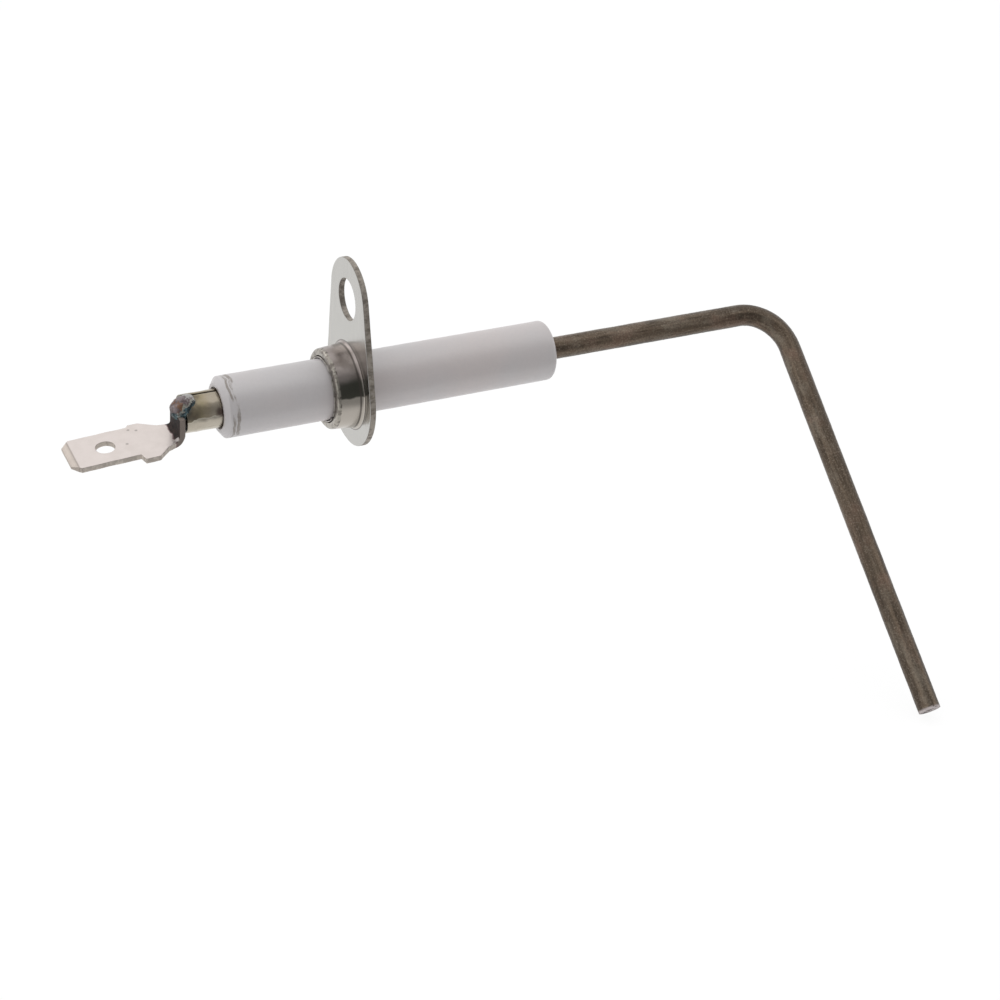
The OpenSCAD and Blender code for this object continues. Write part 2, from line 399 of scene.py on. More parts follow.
class Paint:
    """The node tree of a material or a world, with the few kinds of node that are needed."""

    def __init__(self, owner: Union[bpy.types.Material, bpy.types.World],
                 place: str = "Object") -> None:
        """Empties the owner's tree and adds its coordinates.

        Args:
            owner: the material or world.
            place: which coordinates patterns are read in.
        """
        owner.use_nodes = True
        self.owner = owner
        self.tree = owner.node_tree
        self.tree.nodes.clear()
        self.place = self.node("ShaderNodeTexCoord", {}, {}).outputs[place]

    def node(self, kind: str, settings: Dict[str, object],
             sockets: Dict[Union[str, int], Value]) -> bpy.types.Node:
        """Adds a node.

        Args:
            kind: the node's type.
            settings: its properties, set first; "stops" holds a ramp's (place, colour) pairs.
            sockets: a value or a link for each named or numbered input.

        Returns:
            The node.
        """
        made = self.tree.nodes.new(kind)
        for key, value in settings.items():
            if key == "stops":
                ramp = made.color_ramp
                while len(ramp.elements) < len(value):
                    ramp.elements.new(0.5)
                for element, (where, colour) in zip(ramp.elements, value):
                    element.position = where
                    element.color = (*colour, 1.0)
            else:
                setattr(made, key, value)
        for key, value in sockets.items():
            if isinstance(value, Num):
                self.tree.links.new(value.link, made.inputs[key])
            elif isinstance(value, bpy.types.NodeSocket):
                self.tree.links.new(value, made.inputs[key])
            elif isinstance(value, (tuple, list)) and made.inputs[key].type == "RGBA":
                made.inputs[key].default_value = (*value[:3], 1.0)
            else:
                made.inputs[key].default_value = value
        return made

    def noise(self, scale: float, detail: float = 3.0, rough: float = 0.5, twist: float = 0.0,
              at: Optional[bpy.types.NodeSocket] = None) -> Num:
        """Fractal noise of about 0 to 1.

        Args:
            scale: its features are about 1 / scale metres across.
            detail: how many finer layers are added.
            rough: strength of each finer layer against the one before it.
            twist: how far the pattern is distorted.
            at: the coordinates it is read at, where they aren't the object's own.

        Returns:
            The noise.
        """
        made = self.node("ShaderNodeTexNoise", {},
                         {"Vector": at or self.place, "Scale": scale, "Detail": detail,
                          "Roughness": rough, "Distortion": twist})
        return Num(self, made.outputs[0])

    def cells(self, scale: float) -> Num:
        """Distance to the nearest of scattered points, in cells of 1 / scale metres."""
        made = self.node("ShaderNodeTexVoronoi", {}, {"Vector": self.place, "Scale": scale})
        return Num(self, made.outputs["Distance"])

    def stretched(self, factors: Tuple[float, float, float],
                  at: Optional[bpy.types.NodeSocket] = None) -> bpy.types.NodeSocket:
        """Coordinates scaled along each axis, for patterns that run one way."""
        made = self.node("ShaderNodeVectorMath", {"operation": "MULTIPLY"},
                         {0: at or self.place, 1: factors})
        return made.outputs[0]

    def axes(self) -> Tuple[Num, Num, Num]:
        """The three coordinates as numbers."""
        made = self.node("ShaderNodeSeparateXYZ", {}, {0: self.place})
        return tuple(Num(self, made.outputs[k]) for k in range(3))

    def distance(self, point: Sequence[float]) -> Num:
        """Distance in metres from a point of the row frame given in millimetres."""
        made = self.node("ShaderNodeVectorMath", {"operation": "DISTANCE"},
                         {0: self.place, 1: tuple(MM * v for v in point)})
        return Num(self, made.outputs["Value"])

    def attribute(self, name: str, vector: bool = False) -> Union[Num, bpy.types.NodeSocket]:
        """A vertex attribute of the piece, as a number or as a vector."""
        made = self.node("ShaderNodeAttribute", {"attribute_name": name}, {})
        return made.outputs["Vector"] if vector else Num(self, made.outputs["Fac"])

    def mix(self, share: Operand, first: Value, second: Value) -> bpy.types.NodeSocket:
        """A colour between first, at share 0, and second, at share 1."""
        made = self.node("ShaderNodeMix", {"data_type": "RGBA", "clamp_factor": True},
                         {0: share, 6: first, 7: second})
        return made.outputs[2]

    def layers(self, base: Value, *coats: Tuple[Operand, Value]) -> Value:
        """A base colour under coats: each is a (share, colour) pair laid over those before it."""
        for share, coat in coats:
            base = self.mix(share, base, coat)
        return base

    def ramp(self, value: Num, stops: Stops) -> bpy.types.NodeSocket:
        """A colour read off a ramp."""
        return self.node("ShaderNodeValToRGB", {"stops": stops}, {0: value}).outputs[0]

    def bump(self, height: Num, depth: float, strength: float) -> bpy.types.NodeSocket:
        """A normal tilted by a height field whose full range is depth metres."""
        return self.node("ShaderNodeBump", {}, {"Height": height, "Distance": depth,
                                                "Strength": strength}).outputs[0]

    def finish(self, colour: Value, rough: Value, metal: Value,
               normal: Optional[bpy.types.NodeSocket] = None, **fixed: float) -> bpy.types.Material:
        """Ends the tree in one Principled shader.

        Args:
            colour: base colour.
            rough: roughness.
            metal: metallic.
            normal: the tilted normal, where there is one.
            fixed: other inputs that are the same all over, spaces written as underscores.

        Returns:
            The material.
        """
        sockets: Dict[Union[str, int], Value] = {"Base Color": colour, "Roughness": rough,
                                                 "Metallic": metal}
        if normal is not None:
            sockets["Normal"] = normal
        sockets.update({key.replace("_", " "): value for key, value in fixed.items()})
        shader = self.node("ShaderNodeBsdfPrincipled", {}, sockets)
        self.node("ShaderNodeOutputMaterial", {}, {"Surface": shader.outputs[0]})
        return self.owner


# ---- Finishes ----


@dataclass(frozen=True)
class AluminaFinish:
    """Fired, unglazed alumina with two faint rings of handling dirt near the terminal end."""

    end_x: float
    rings: Tuple[Band, Band] = ((1.05, 0.24), (1.62, 0.26))
    soiled_len: Band = (6.0, 1.0)
    body: Colour = (0.515, 0.49, 0.495)
    warm: Colour = (0.54, 0.49, 0.485)
    grain: Colour = (0.45, 0.43, 0.43)
    cloud: Colour = (0.51, 0.455, 0.445)
    dirt: Colour = (0.17, 0.135, 0.105)

    def material(self) -> bpy.types.Material:
        """Mixes a slow tint, fine grain, specks and the rings, each (from the end, half width)."""
        p = Paint(bpy.data.materials.new("alumina"))
        x, _, _ = p.axes()
        wander = (p.noise(420.0, 3.0) - 0.5) * 1.3 * MM
        from_end = (x + wander) / MM - self.end_x
        first, second = ((from_end - place) / half for place, half in self.rings)
        band = (1.0 - first * first).larger(1.0 - second * second).step(0.0, 0.8)
        patches = p.noise(950.0, 4.0, 0.65, at=p.stretched((1.0, 0.3, 0.3))).step(0.38, 0.54)
        specks = p.cells(560.0).step(0.16, 0.04) * p.noise(230.0, 1.0).step(0.55, 0.7)
        near_end = x.step(*((self.end_x + length) * MM for length in self.soiled_len))
        colour = p.layers(
            self.body,
            (p.noise(90.0, 2.0).step(0.35, 0.7), self.warm),
            (p.noise(2600.0, 2.0).step(0.3, 0.75) * 0.2, self.grain),
            ((band * patches * 0.85).larger(specks * near_end * 0.5), self.dirt),
            (p.noise(60.0, 3.0).step(0.55, 0.8) * 0.16, self.cloud))
        rough = p.noise(500.0, 2.0) * 0.12 + 0.28
        normal = p.bump(p.noise(3800.0, 3.0), 0.00002, 0.35)
        return p.finish(colour, rough, 0.0, normal, IOR=1.76, Specular_IOR_Level=0.85)


@dataclass(frozen=True)
class ScaledRodFinish:
    """Heat-resisting rod with its brown, drawn and baked skin of oxide."""

    dark: Colour = (0.060, 0.042, 0.028)
    brown: Colour = (0.165, 0.122, 0.085)
    grey: Colour = (0.225, 0.190, 0.148)
    red: Colour = (0.200, 0.128, 0.092)
    pale_speck: Colour = (0.36, 0.30, 0.235)
    black_speck: Colour = (0.04, 0.03, 0.022)
    chipped: Colour = (0.11, 0.085, 0.08)
    cut: Colour = (0.60, 0.54, 0.535)

    def material(self) -> bpy.types.Material:
        """Streaks run along the rod, under patches and fine specks of scale; the cut end is bare."""
        p = Paint(bpy.data.materials.new("scaled_rod"))
        flow = p.attribute("flow", vector=True)
        bare = p.attribute("bare")
        streak = p.noise(1400.0, 5.0, 0.62, at=p.stretched((0.05, 1.0, 1.0), flow))
        vein = p.noise(620.0, 3.0, at=p.stretched((0.03, 1.0, 1.0), flow)).step(0.46, 0.62)
        patch = p.noise(520.0, 4.0, 0.6, at=p.stretched((0.45, 1.0, 1.0), flow))
        speck = p.noise(4200.0, 3.0, 0.7, at=flow)
        chips = p.noise(900.0, 4.0, 0.6).step(0.36, 0.46)
        colour = p.layers(
            self.dark,
            (streak.step(0.34, 0.62), self.brown),
            (patch.step(0.46, 0.72) * 0.75, self.grey),
            (p.noise(260.0, 3.0, at=flow).step(0.5, 0.72) * 0.6, self.red),
            (vein * 0.7, self.dark),
            (speck.step(0.53, 0.66) * 0.4, self.pale_speck),
            (speck.step(0.46, 0.34) * 0.5, self.black_speck),
            (bare, p.mix(chips, self.chipped, self.cut)))
        rough = patch * 0.2 + bare * 0.25 + 0.26
        normal = p.bump(streak * 0.6 + speck * 0.5, 0.00005, 0.6)
        return p.finish(colour, rough, bare * -0.4 + 0.6, normal)


@dataclass(frozen=True)
class BrightSleeveFinish:
    """Bright nickel on the rolled sleeve, tinted round the weld, with painted reflection and shadow on
    its side, painted shade in its bore and a painted contact shadow where it meets the tube.
    """

    weld: Place
    mouth_x: float
    tint: Stops = ((0.0, (0.06, 0.085, 0.095)), (0.10, (0.17, 0.14, 0.105)),
                   (0.25, (0.43, 0.37, 0.235)), (0.44, (0.56, 0.475, 0.34)),
                   (0.76, (0.62, 0.555, 0.46)))
    tint_start: float = 1.5
    tint_len: float = 3.2
    # Place and slope of the wandering line on the sleeve's side: painted shade above it, a painted
    # light reflection below it and a painted highlight along it.
    line_z: float = -0.35
    line_slope: float = 0.17
    # Radius inside which the painted shade of the bore comes in.
    inside_r: Band = (2.42, 2.30)
    shadow: Colour = (0.26, 0.22, 0.16)
    lower_reflection: Colour = (0.54, 0.495, 0.42)
    glint: Colour = (0.80, 0.75, 0.63)
    # Painted contact shadow where the sleeve enters the tube.
    mouth_shadow: Colour = (0.10, 0.065, 0.06)
    drawn: Colour = (0.36, 0.33, 0.265)
    bore_shade: Colour = (0.05, 0.04, 0.035)

    def material(self) -> bpy.types.Material:
        """Reads the tint off the distance from the weld; at a wandering line on the side it gives way
        to a painted shadow above and a painted light reflection below, with a painted highlight along
        the line.
        """
        p = Paint(bpy.data.materials.new("bright_sleeve"))
        x, y, z = p.axes()
        wander = (p.noise(520.0, 3.0) - 0.5) * 0.9
        reach = (p.distance(self.weld) / MM - self.tint_start) / self.tint_len + wander * 0.8
        line = (z / MM - self.line_z) - (x / MM - self.weld[0]) * self.line_slope + wander * 1.9
        shade = p.noise(1100.0, 3.0, 0.6, at=p.stretched((0.5, 1.0, 1.0)))
        spot = p.distance((self.mouth_x - 0.25, -2.35, 0.55)) / MM + wander * 0.9
        streak = p.noise(900.0, 4.0, 0.55, at=p.stretched((0.3, 1.0, 1.0)))
        colour = p.layers(
            p.ramp(reach, self.tint),
            # Painted light: a shade above the line, a light reflection below it and a highlight along
            # it.
            (line.step(0.0, 0.12) * (0.30 + shade * 0.3), self.shadow),
            (line.step(0.04, -0.04) * 0.85, self.lower_reflection),
            (line.between((-0.22, -0.08), (0.06, 0.0)) * 0.6, self.glint),
            # Painted contact shadow at the tube's mouth, on the sleeve's near side.
            (spot.step(0.95, 0.35) * 0.85, self.mouth_shadow),
            (streak.step(0.45, 0.7) * 0.4, self.drawn),
            # Painted shade inside the sleeve's bore.
            (((y * y + z * z) ** 0.5 / MM).step(*self.inside_r) * 0.8, self.bore_shade))
        rough = p.noise(300.0, 2.0) * 0.12 + 0.16
        normal = p.bump(p.noise(520.0, 4.0, 0.6), 0.00006, 0.5)
        return p.finish(colour, rough, 1.0, normal)


@dataclass(frozen=True)
class SatinTabFinish:
    """Satin nickel on the stamped tab, with grey sheared edges, painted shade lines along their
    rounding and the tip's crease, heat tint at the foot that deepens into a painted shadow of the bead,
    and a painted highlight on the bend.
    """

    marks: Tuple[Place, ...]
    glint_spot: Place
    bevel_s: float
    bend_s: float
    skin: Colour = (0.81, 0.735, 0.70)
    mottle: Colour = (0.71, 0.64, 0.60)
    shear: Colour = (0.64, 0.58, 0.52)
    shear_dark: Colour = (0.46, 0.41, 0.365)
    edge_shade_line: Colour = (0.17, 0.15, 0.13)
    tip: Colour = (0.50, 0.44, 0.39)
    crease_shade: Colour = (0.30, 0.255, 0.225)
    tint: Colour = (0.26, 0.175, 0.175)
    # Dark colours past the bend: partly real heat tint, partly a painted shadow and reflection of the
    # bead.
    heat_tint_and_shadow: Colour = (0.010, 0.006, 0.005)
    heat_tint_and_shadow_pale: Colour = (0.034, 0.020, 0.017)
    burnt_and_shadowed_edge: Colour = (0.25, 0.21, 0.185)
    glint: Colour = (0.62, 0.57, 0.55)
    mark: Colour = (0.22, 0.19, 0.175)

    def material(self) -> bpy.types.Material:
        """Faces, edges and hole wall differ by the cut attribute; dents and dots are small marks, and a
        painted highlight sits on the bend.
        """
        p = Paint(bpy.data.materials.new("satin_tab"))
        cut, along = p.attribute("cut"), p.attribute("along")
        grain = p.noise(2400.0, 3.0, 0.6)
        mottle = p.noise(600.0, 3.0)
        torn = p.noise(1300.0, 3.0, 0.6, at=p.stretched((1.0, 1.0, 0.35))).step(0.4, 0.62)
        bevel = self.bevel_s
        crease_shade = along.between((bevel + 0.13, bevel + 0.05), (bevel - 0.11, bevel - 0.03))
        wander = (p.noise(900.0, 3.0) - 0.5) * 0.9
        heat_and_shade = along - self.bend_s + wander
        burnt_and_shadowed = p.mix(p.noise(1700.0, 3.0, 0.6).step(0.4, 0.62), self.heat_tint_and_shadow, self.heat_tint_and_shadow_pale)
        burnt_and_shadowed = p.mix(cut * 0.85, burnt_and_shadowed, self.burnt_and_shadowed_edge)
        # Painted highlight in the bend's hollow, by the near edge.
        glint = (p.distance(self.glint_spot) / MM + wander * 0.3).step(0.42, 0.22)
        spots = [p.distance(place) / MM + wander * 0.12 for place in self.marks]
        colour = p.layers(
            self.skin,
            (mottle.step(0.35, 0.7) * 0.4, self.mottle),
            (cut, p.mix(torn, self.shear_dark, self.shear)),
            # Painted shade line where the faces round over into the cut edge.
            (cut * (1.0 - cut) * 2.8, self.edge_shade_line),
            (along.step(bevel + 0.05, bevel - 0.05) * 0.85, self.tip),
            # Painted shade line along the crease where the tip's bevel meets the face.
            (crease_shade * 0.5, self.crease_shade),
            # Heat tint past the bend, deepening into near-black that is partly a painted shadow and
            # reflection of the bead.
            (heat_and_shade.step(-0.08, 0.16), p.mix(heat_and_shade.step(0.10, 0.34), self.tint, burnt_and_shadowed)),
            (glint * 0.85, self.glint),
            *((spot.step(0.26, 0.10) * 0.55, self.mark) for spot in spots))
        scorched = heat_and_shade.step(0.0, 0.4)
        rough = grain * 0.14 + 0.28 + cut * 0.25 + scorched * 0.45
        metal = 0.92 - (cut * 0.6).larger(scorched * 0.85)
        normal = p.bump(grain * 0.6 + mottle, 0.00003, 0.30)
        return p.finish(colour, rough, metal, normal)


@dataclass(frozen=True)
class WeldFinish:
    """Weld metal: brown and lilac on its crown, a blue-green crust on one side and a painted highlight
    on top.
    """

    centre: Place
    across: Place = (0.90, -0.43, 0.02)
    upward: Place = (0.18, 0.42, 0.89)
    crown: Stops = ((0.36, (0.075, 0.055, 0.06)), (0.47, (0.16, 0.125, 0.125)),
                    (0.56, (0.22, 0.185, 0.19)), (0.68, (0.34, 0.30, 0.30)))
    crust: Stops = ((0.40, (0.012, 0.02, 0.022)), (0.48, (0.04, 0.065, 0.075)),
                    (0.54, (0.11, 0.175, 0.195)), (0.64, (0.30, 0.36, 0.35)))
    rust: Colour = (0.215, 0.115, 0.065)
    olive: Colour = (0.37, 0.38, 0.32)
    top_highlight: Colour = (0.50, 0.50, 0.48)

    def material(self) -> bpy.types.Material:
        """Lays the colours out by two slanted distances from the lump's middle, broken by noise."""
        p = Paint(bpy.data.materials.new("weld_metal"))
        offset = [axis / MM - middle for axis, middle in zip(p.axes(), self.centre)]
        wander = (p.noise(1000.0, 4.0, 0.6) - 0.5) * 2.6
        waver = (p.noise(1500.0, 3.0, 0.6, 0.5) - 0.5) * 2.4
        u = sum(part * share for part, share in zip(offset, self.across)) + wander
        v = sum(part * share for part, share in zip(offset, self.upward)) + waver
        slow, fine = p.noise(620.0, 3.0, 0.55), p.noise(2300.0, 3.0, 0.6)
        patch = ((u + 0.15) ** 2.0 + v * v).step(0.26, 0.10)
        patch = patch.larger(((u + 0.9) * (u + 0.9) + (v - 0.55) * (v - 0.55)).step(0.2, 0.05))
        side = u * 0.75 - v * 0.55
        crust = p.ramp(p.noise(1300.0, 3.0, 0.65) * 0.6 + fine * 0.4, self.crust)
        colour = p.layers(
            p.ramp(slow * 0.6 + fine * 0.4, self.crown),
            (patch * 0.8, self.rust),
            (side.between((0.12, 0.28), (0.55, 0.38)) * 0.75, self.olive),
            (side.step(0.42, 0.60).larger(v.step(-0.8, -1.05)), crust),
            # Painted highlight on the bead's top.
            ((v + u * 0.25).step(1.2, 1.42) * 0.8, self.top_highlight))
        normal = p.bump(fine * 0.5 + slow, 0.00010, 0.6)
        return p.finish(colour, fine * 0.25 + 0.30, 0.55, normal)


@dataclass(frozen=True)
class StampedSteelFinish:
    """Stainless sheet: satin faces, a bright drawn collar with painted reflection bands, and dark torn
    edges with a painted shade line along their rounding.

    The fields that end in _z, _x and _r are places on the collar where a tone comes in or goes out.
    """

    rim_x: float
    # Heights on the collar where the painted reflection bands come in and go out.
    upper_z: Band = (4.9, 3.9)
    band_z: Band = (3.2, 2.3)
    lower_z: Band = (0.7, 0.4)
    outside_x: Band = (-0.75, -1.0)
    shoulder_len: Band = (0.56, 0.36)
    root_x: Tuple[Band, Band] = ((-1.46, -1.30), (-1.08, -1.2))
    face_ring_r: Tuple[Band, Band] = ((5.72, 5.80), (5.96, 5.88))
    face_ring_x: Band = (-0.5, -0.7)
    face: Colour = (0.53, 0.52, 0.495)
    brushed: Colour = (0.47, 0.46, 0.44)
    cloudy: Colour = (0.50, 0.485, 0.465)
    drawn_dark: Colour = (0.29, 0.25, 0.23)
    drawn_pale: Colour = (0.42, 0.37, 0.35)
    # Painted reflection tones on the collar: a darker top, a dark middle band and a light lower half.
    collar_upper_reflection: Colour = (0.17, 0.15, 0.14)
    band: Colour = (0.055, 0.060, 0.046)
    lower: Colour = (0.50, 0.46, 0.41)
    lip_pale: Colour = (0.40, 0.375, 0.33)
    lip_dark: Colour = (0.14, 0.12, 0.105)
    lip_line: Colour = (0.06, 0.05, 0.045)
    root_line: Colour = (0.11, 0.095, 0.085)
    face_ring_line: Colour = (0.15, 0.13, 0.12)
    torn: Colour = (0.20, 0.175, 0.15)
    torn_pale: Colour = (0.40, 0.36, 0.315)
    edge_shade_line: Colour = (0.10, 0.085, 0.075)

    def collar(self, p: Paint, smear: Num, x: Num, z: Num) -> Value:
        """The drawn collar's colour, in painted reflection bands by height, with its rim's lip and the
        line at its root.

        Args:
            p: the material's paint.
            smear: slow noise that breaks the bands up.
            x: place along the collar, in millimetres.
            z: height, in millimetres.

        Returns:
            The colour.
        """
        height = z + (smear - 0.5) * 0.9
        outside = x.step(*self.outside_x)
        shoulder = (x - self.rim_x).step(*self.shoulder_len)
        grit = p.noise(1500.0, 3.0, 0.65).step(0.47, 0.60)
        return p.layers(
            self.drawn_dark,
            (smear.step(0.38, 0.66), self.drawn_pale),
            # Painted reflection bands by height on the collar's outside.
            (height.step(*self.upper_z) * outside * 0.40, self.collar_upper_reflection),
            (height.step(*self.band_z) * outside * 0.85, self.band),
            (height.step(*self.lower_z), self.lower),
            (shoulder * 0.85, p.mix(grit * 0.8, self.lip_pale, self.lip_dark)),
            (shoulder * (1.0 - shoulder) * grit * 3.4, self.lip_line),
            (x.between(*self.root_x) * 0.75, self.root_line))

    def material(self) -> bpy.types.Material:
        """The cut attribute marks edges, and the drawn attribute marks the collar."""
        p = Paint(bpy.data.materials.new("stamped_steel"))
        cut, drawn = p.attribute("cut"), p.attribute("drawn")
        x, y, z = p.axes()
        brush = p.noise(2600.0, 3.0, 0.6, at=p.stretched((1.0, 1.0, 0.06)))
        smear = p.noise(420.0, 3.0, 0.5)
        tear = p.noise(1500.0, 4.0, 0.65, at=p.stretched((0.5, 1.0, 1.0)))
        away = (y * y + z * z) ** 0.5 / MM
        # A dark ring on the terminal face where the root fillet runs out into it.
        face_ring = away.between(*self.face_ring_r) * (x / MM).step(*self.face_ring_x)
        colour = p.layers(
            self.face,
            (brush.step(0.35, 0.7) * 0.3, self.brushed),
            (p.noise(420.0, 3.0, 0.55).step(0.52, 0.75) * 0.35, self.cloudy),
            (drawn, self.collar(p, smear, x / MM, z / MM)),
            (face_ring * 0.75, self.face_ring_line),
            (cut, p.mix(tear.step(0.34, 0.6), self.torn, self.torn_pale)),
            # Painted shade line where the plate's faces round over into the cut edge.
            (cut * (1.0 - cut) * 3.0, self.edge_shade_line))
        rough = brush * 0.10 + 0.17 + cut * 0.3
        relief = brush * (1.0 - drawn) * 0.35 + smear * drawn * 0.3 + tear * cut * 2.2
        normal = p.bump(relief, 0.00003, 0.5)
        return p.finish(colour, rough, 1.0 - cut * 0.35, normal)


@dataclass(frozen=True)
class LinerFinish:
    """Thin dull metal, dark in patches."""

    dark: Colour = (0.22, 0.20, 0.185)
    pale: Colour = (0.52, 0.49, 0.46)

    def material(self) -> bpy.types.Material:
        """Two greys mixed by fractal noise."""
        p = Paint(bpy.data.materials.new("liner_metal"))
        broken = p.noise(1200.0, 3.0, 0.6)
        colour = p.mix(broken.step(0.35, 0.65), self.dark, self.pale)
        return p.finish(colour, broken * 0.2 + 0.3, 0.9, p.bump(broken, 0.00004, 0.5))


@dataclass(frozen=True)
class CementFinish:
    """Fireproof cement with grains."""

    dark: Colour = (0.16, 0.145, 0.125)
    light: Colour = (0.36, 0.335, 0.30)

    def material(self) -> bpy.types.Material:
        """Two greys mixed by fractal noise, with pores."""
        p = Paint(bpy.data.materials.new("cement"))
        grain = p.noise(1800.0, 5.0, 0.65)
        colour = p.mix(grain.step(0.35, 0.65), self.dark, self.light)
        return p.finish(colour, 0.85, 0.0, p.bump(grain, 0.0001, 0.8))


# ---- Pieces ----


def install(piece: bpy.types.Object, node: str, slot: str, material: bpy.types.Material) -> None:
    """Dresses a piece, lets it ride on the body and lets it stand for its CAD node.

    Args:
        piece: the piece.
        node: the CAD node it replaces.
        slot: name of the material slot it belongs to; it is only logged.
        material: its finish.
    """
    piece.data.materials.append(material)
    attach(piece, BODY)
    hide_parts(node)
    LOG.info("%s stands for %s in %s", piece.name, node, slot)


@dataclass
class Insulator:
    """The ceramic tube with its bore, its counterbore and the cement in both."""

    rear_bevel: float = 0.8
    rear_bevel_len: float = 0.6
    front_round: float = 0.5
    rod_bore_r: float = 1.72
    seat_bore_r: float = 2.72
    seat_depth: float = 6.0
    skin: float = 0.012
    front_cement_in_r: float = 1.51
    rear_cement_in_r: float = 2.51
    cement_round: float = 0.05
    cement_lump: float = 0.12
    tube_columns: int = 160
    cement_columns: int = 96

    def tube(self) -> bpy.types.Object:
        """Revolves the closed half section and lets its skin wander by a few microns."""
        low, high = node_box("insulator")
        x0, x1, r = low[0], high[0], high[2] - self.skin
        seat_x = x0 + self.seat_depth
        middle = (x1, 0.5 * (self.rod_bore_r + r))
        section = [middle, (x1, r), (x0 + self.rear_bevel_len, r), (x0, r - self.rear_bevel),
                   (x0, self.seat_bore_r), (seat_x, self.seat_bore_r), (seat_x, self.rod_bore_r),
                   (x1, self.rod_bore_r), middle]
        profile = rounded(section, [self.front_round, 0.15, 0.1, 0.06, 0.1, 0.1, 0.12], 0.6)
        grid = revolve(profile, ring_angles(self.tube_columns))
        wander = 0.5 * self.skin * np.clip(ripple(grid, 3.0, 3), -1.5, 1.5)
        outer = smoothstep(r - 1.0, r - 0.3, profile[:, 1])[:, None]
        return closed_mesh("ceramic_tube", grid + radial(grid) * (wander * outer)[..., None])

    def cement(self, node: str, name: str, inner_r: float, step: float,
               seed: int) -> bpy.types.Object:
        """A ring that fills its CAD solid's place, with a lumpy face at each end.

        Args:
            node: the CAD node whose place it fills.
            name: the piece's name.
            inner_r: the ring's inner radius.
            step: longest run between two rows.
            seed: seed of the lumps.

        Returns:
            The ring.
        """
        low, high = node_box(node)
        profile = ring_section((low[0], high[0]), (high[2], inner_r), [self.cement_round] * 4, step, 3)
        grid = revolve(profile, ring_angles(self.cement_columns))
        ends = np.minimum(profile[:, 0] - low[0], high[0] - profile[:, 0])[:, None]
        lumps = self.cement_lump * np.abs(ripple(grid, 0.7, seed)) * np.exp(-ends / 0.2)
        grid[..., 0] += lumps * np.sign(0.5 * (low[0] + high[0]) - profile[:, :1])
        return closed_mesh(name, grid)

    def build(self) -> None:
        """Makes the tube and both cement rings."""
        low, _ = node_box("insulator")
        install(self.tube(), "insulator", "alumina", AluminaFinish(low[0]).material())
        install(self.cement("front_cement", "cement_front", self.front_cement_in_r, 0.5, 21),
                "front_cement", "cement", CementFinish().material())
        pale = CementFinish((0.44, 0.41, 0.39), (0.60, 0.57, 0.55))
        install(self.cement("rear_cement", "cement_rear", self.rear_cement_in_r, 0.12, 22),
                "rear_cement", "cement", pale.material())


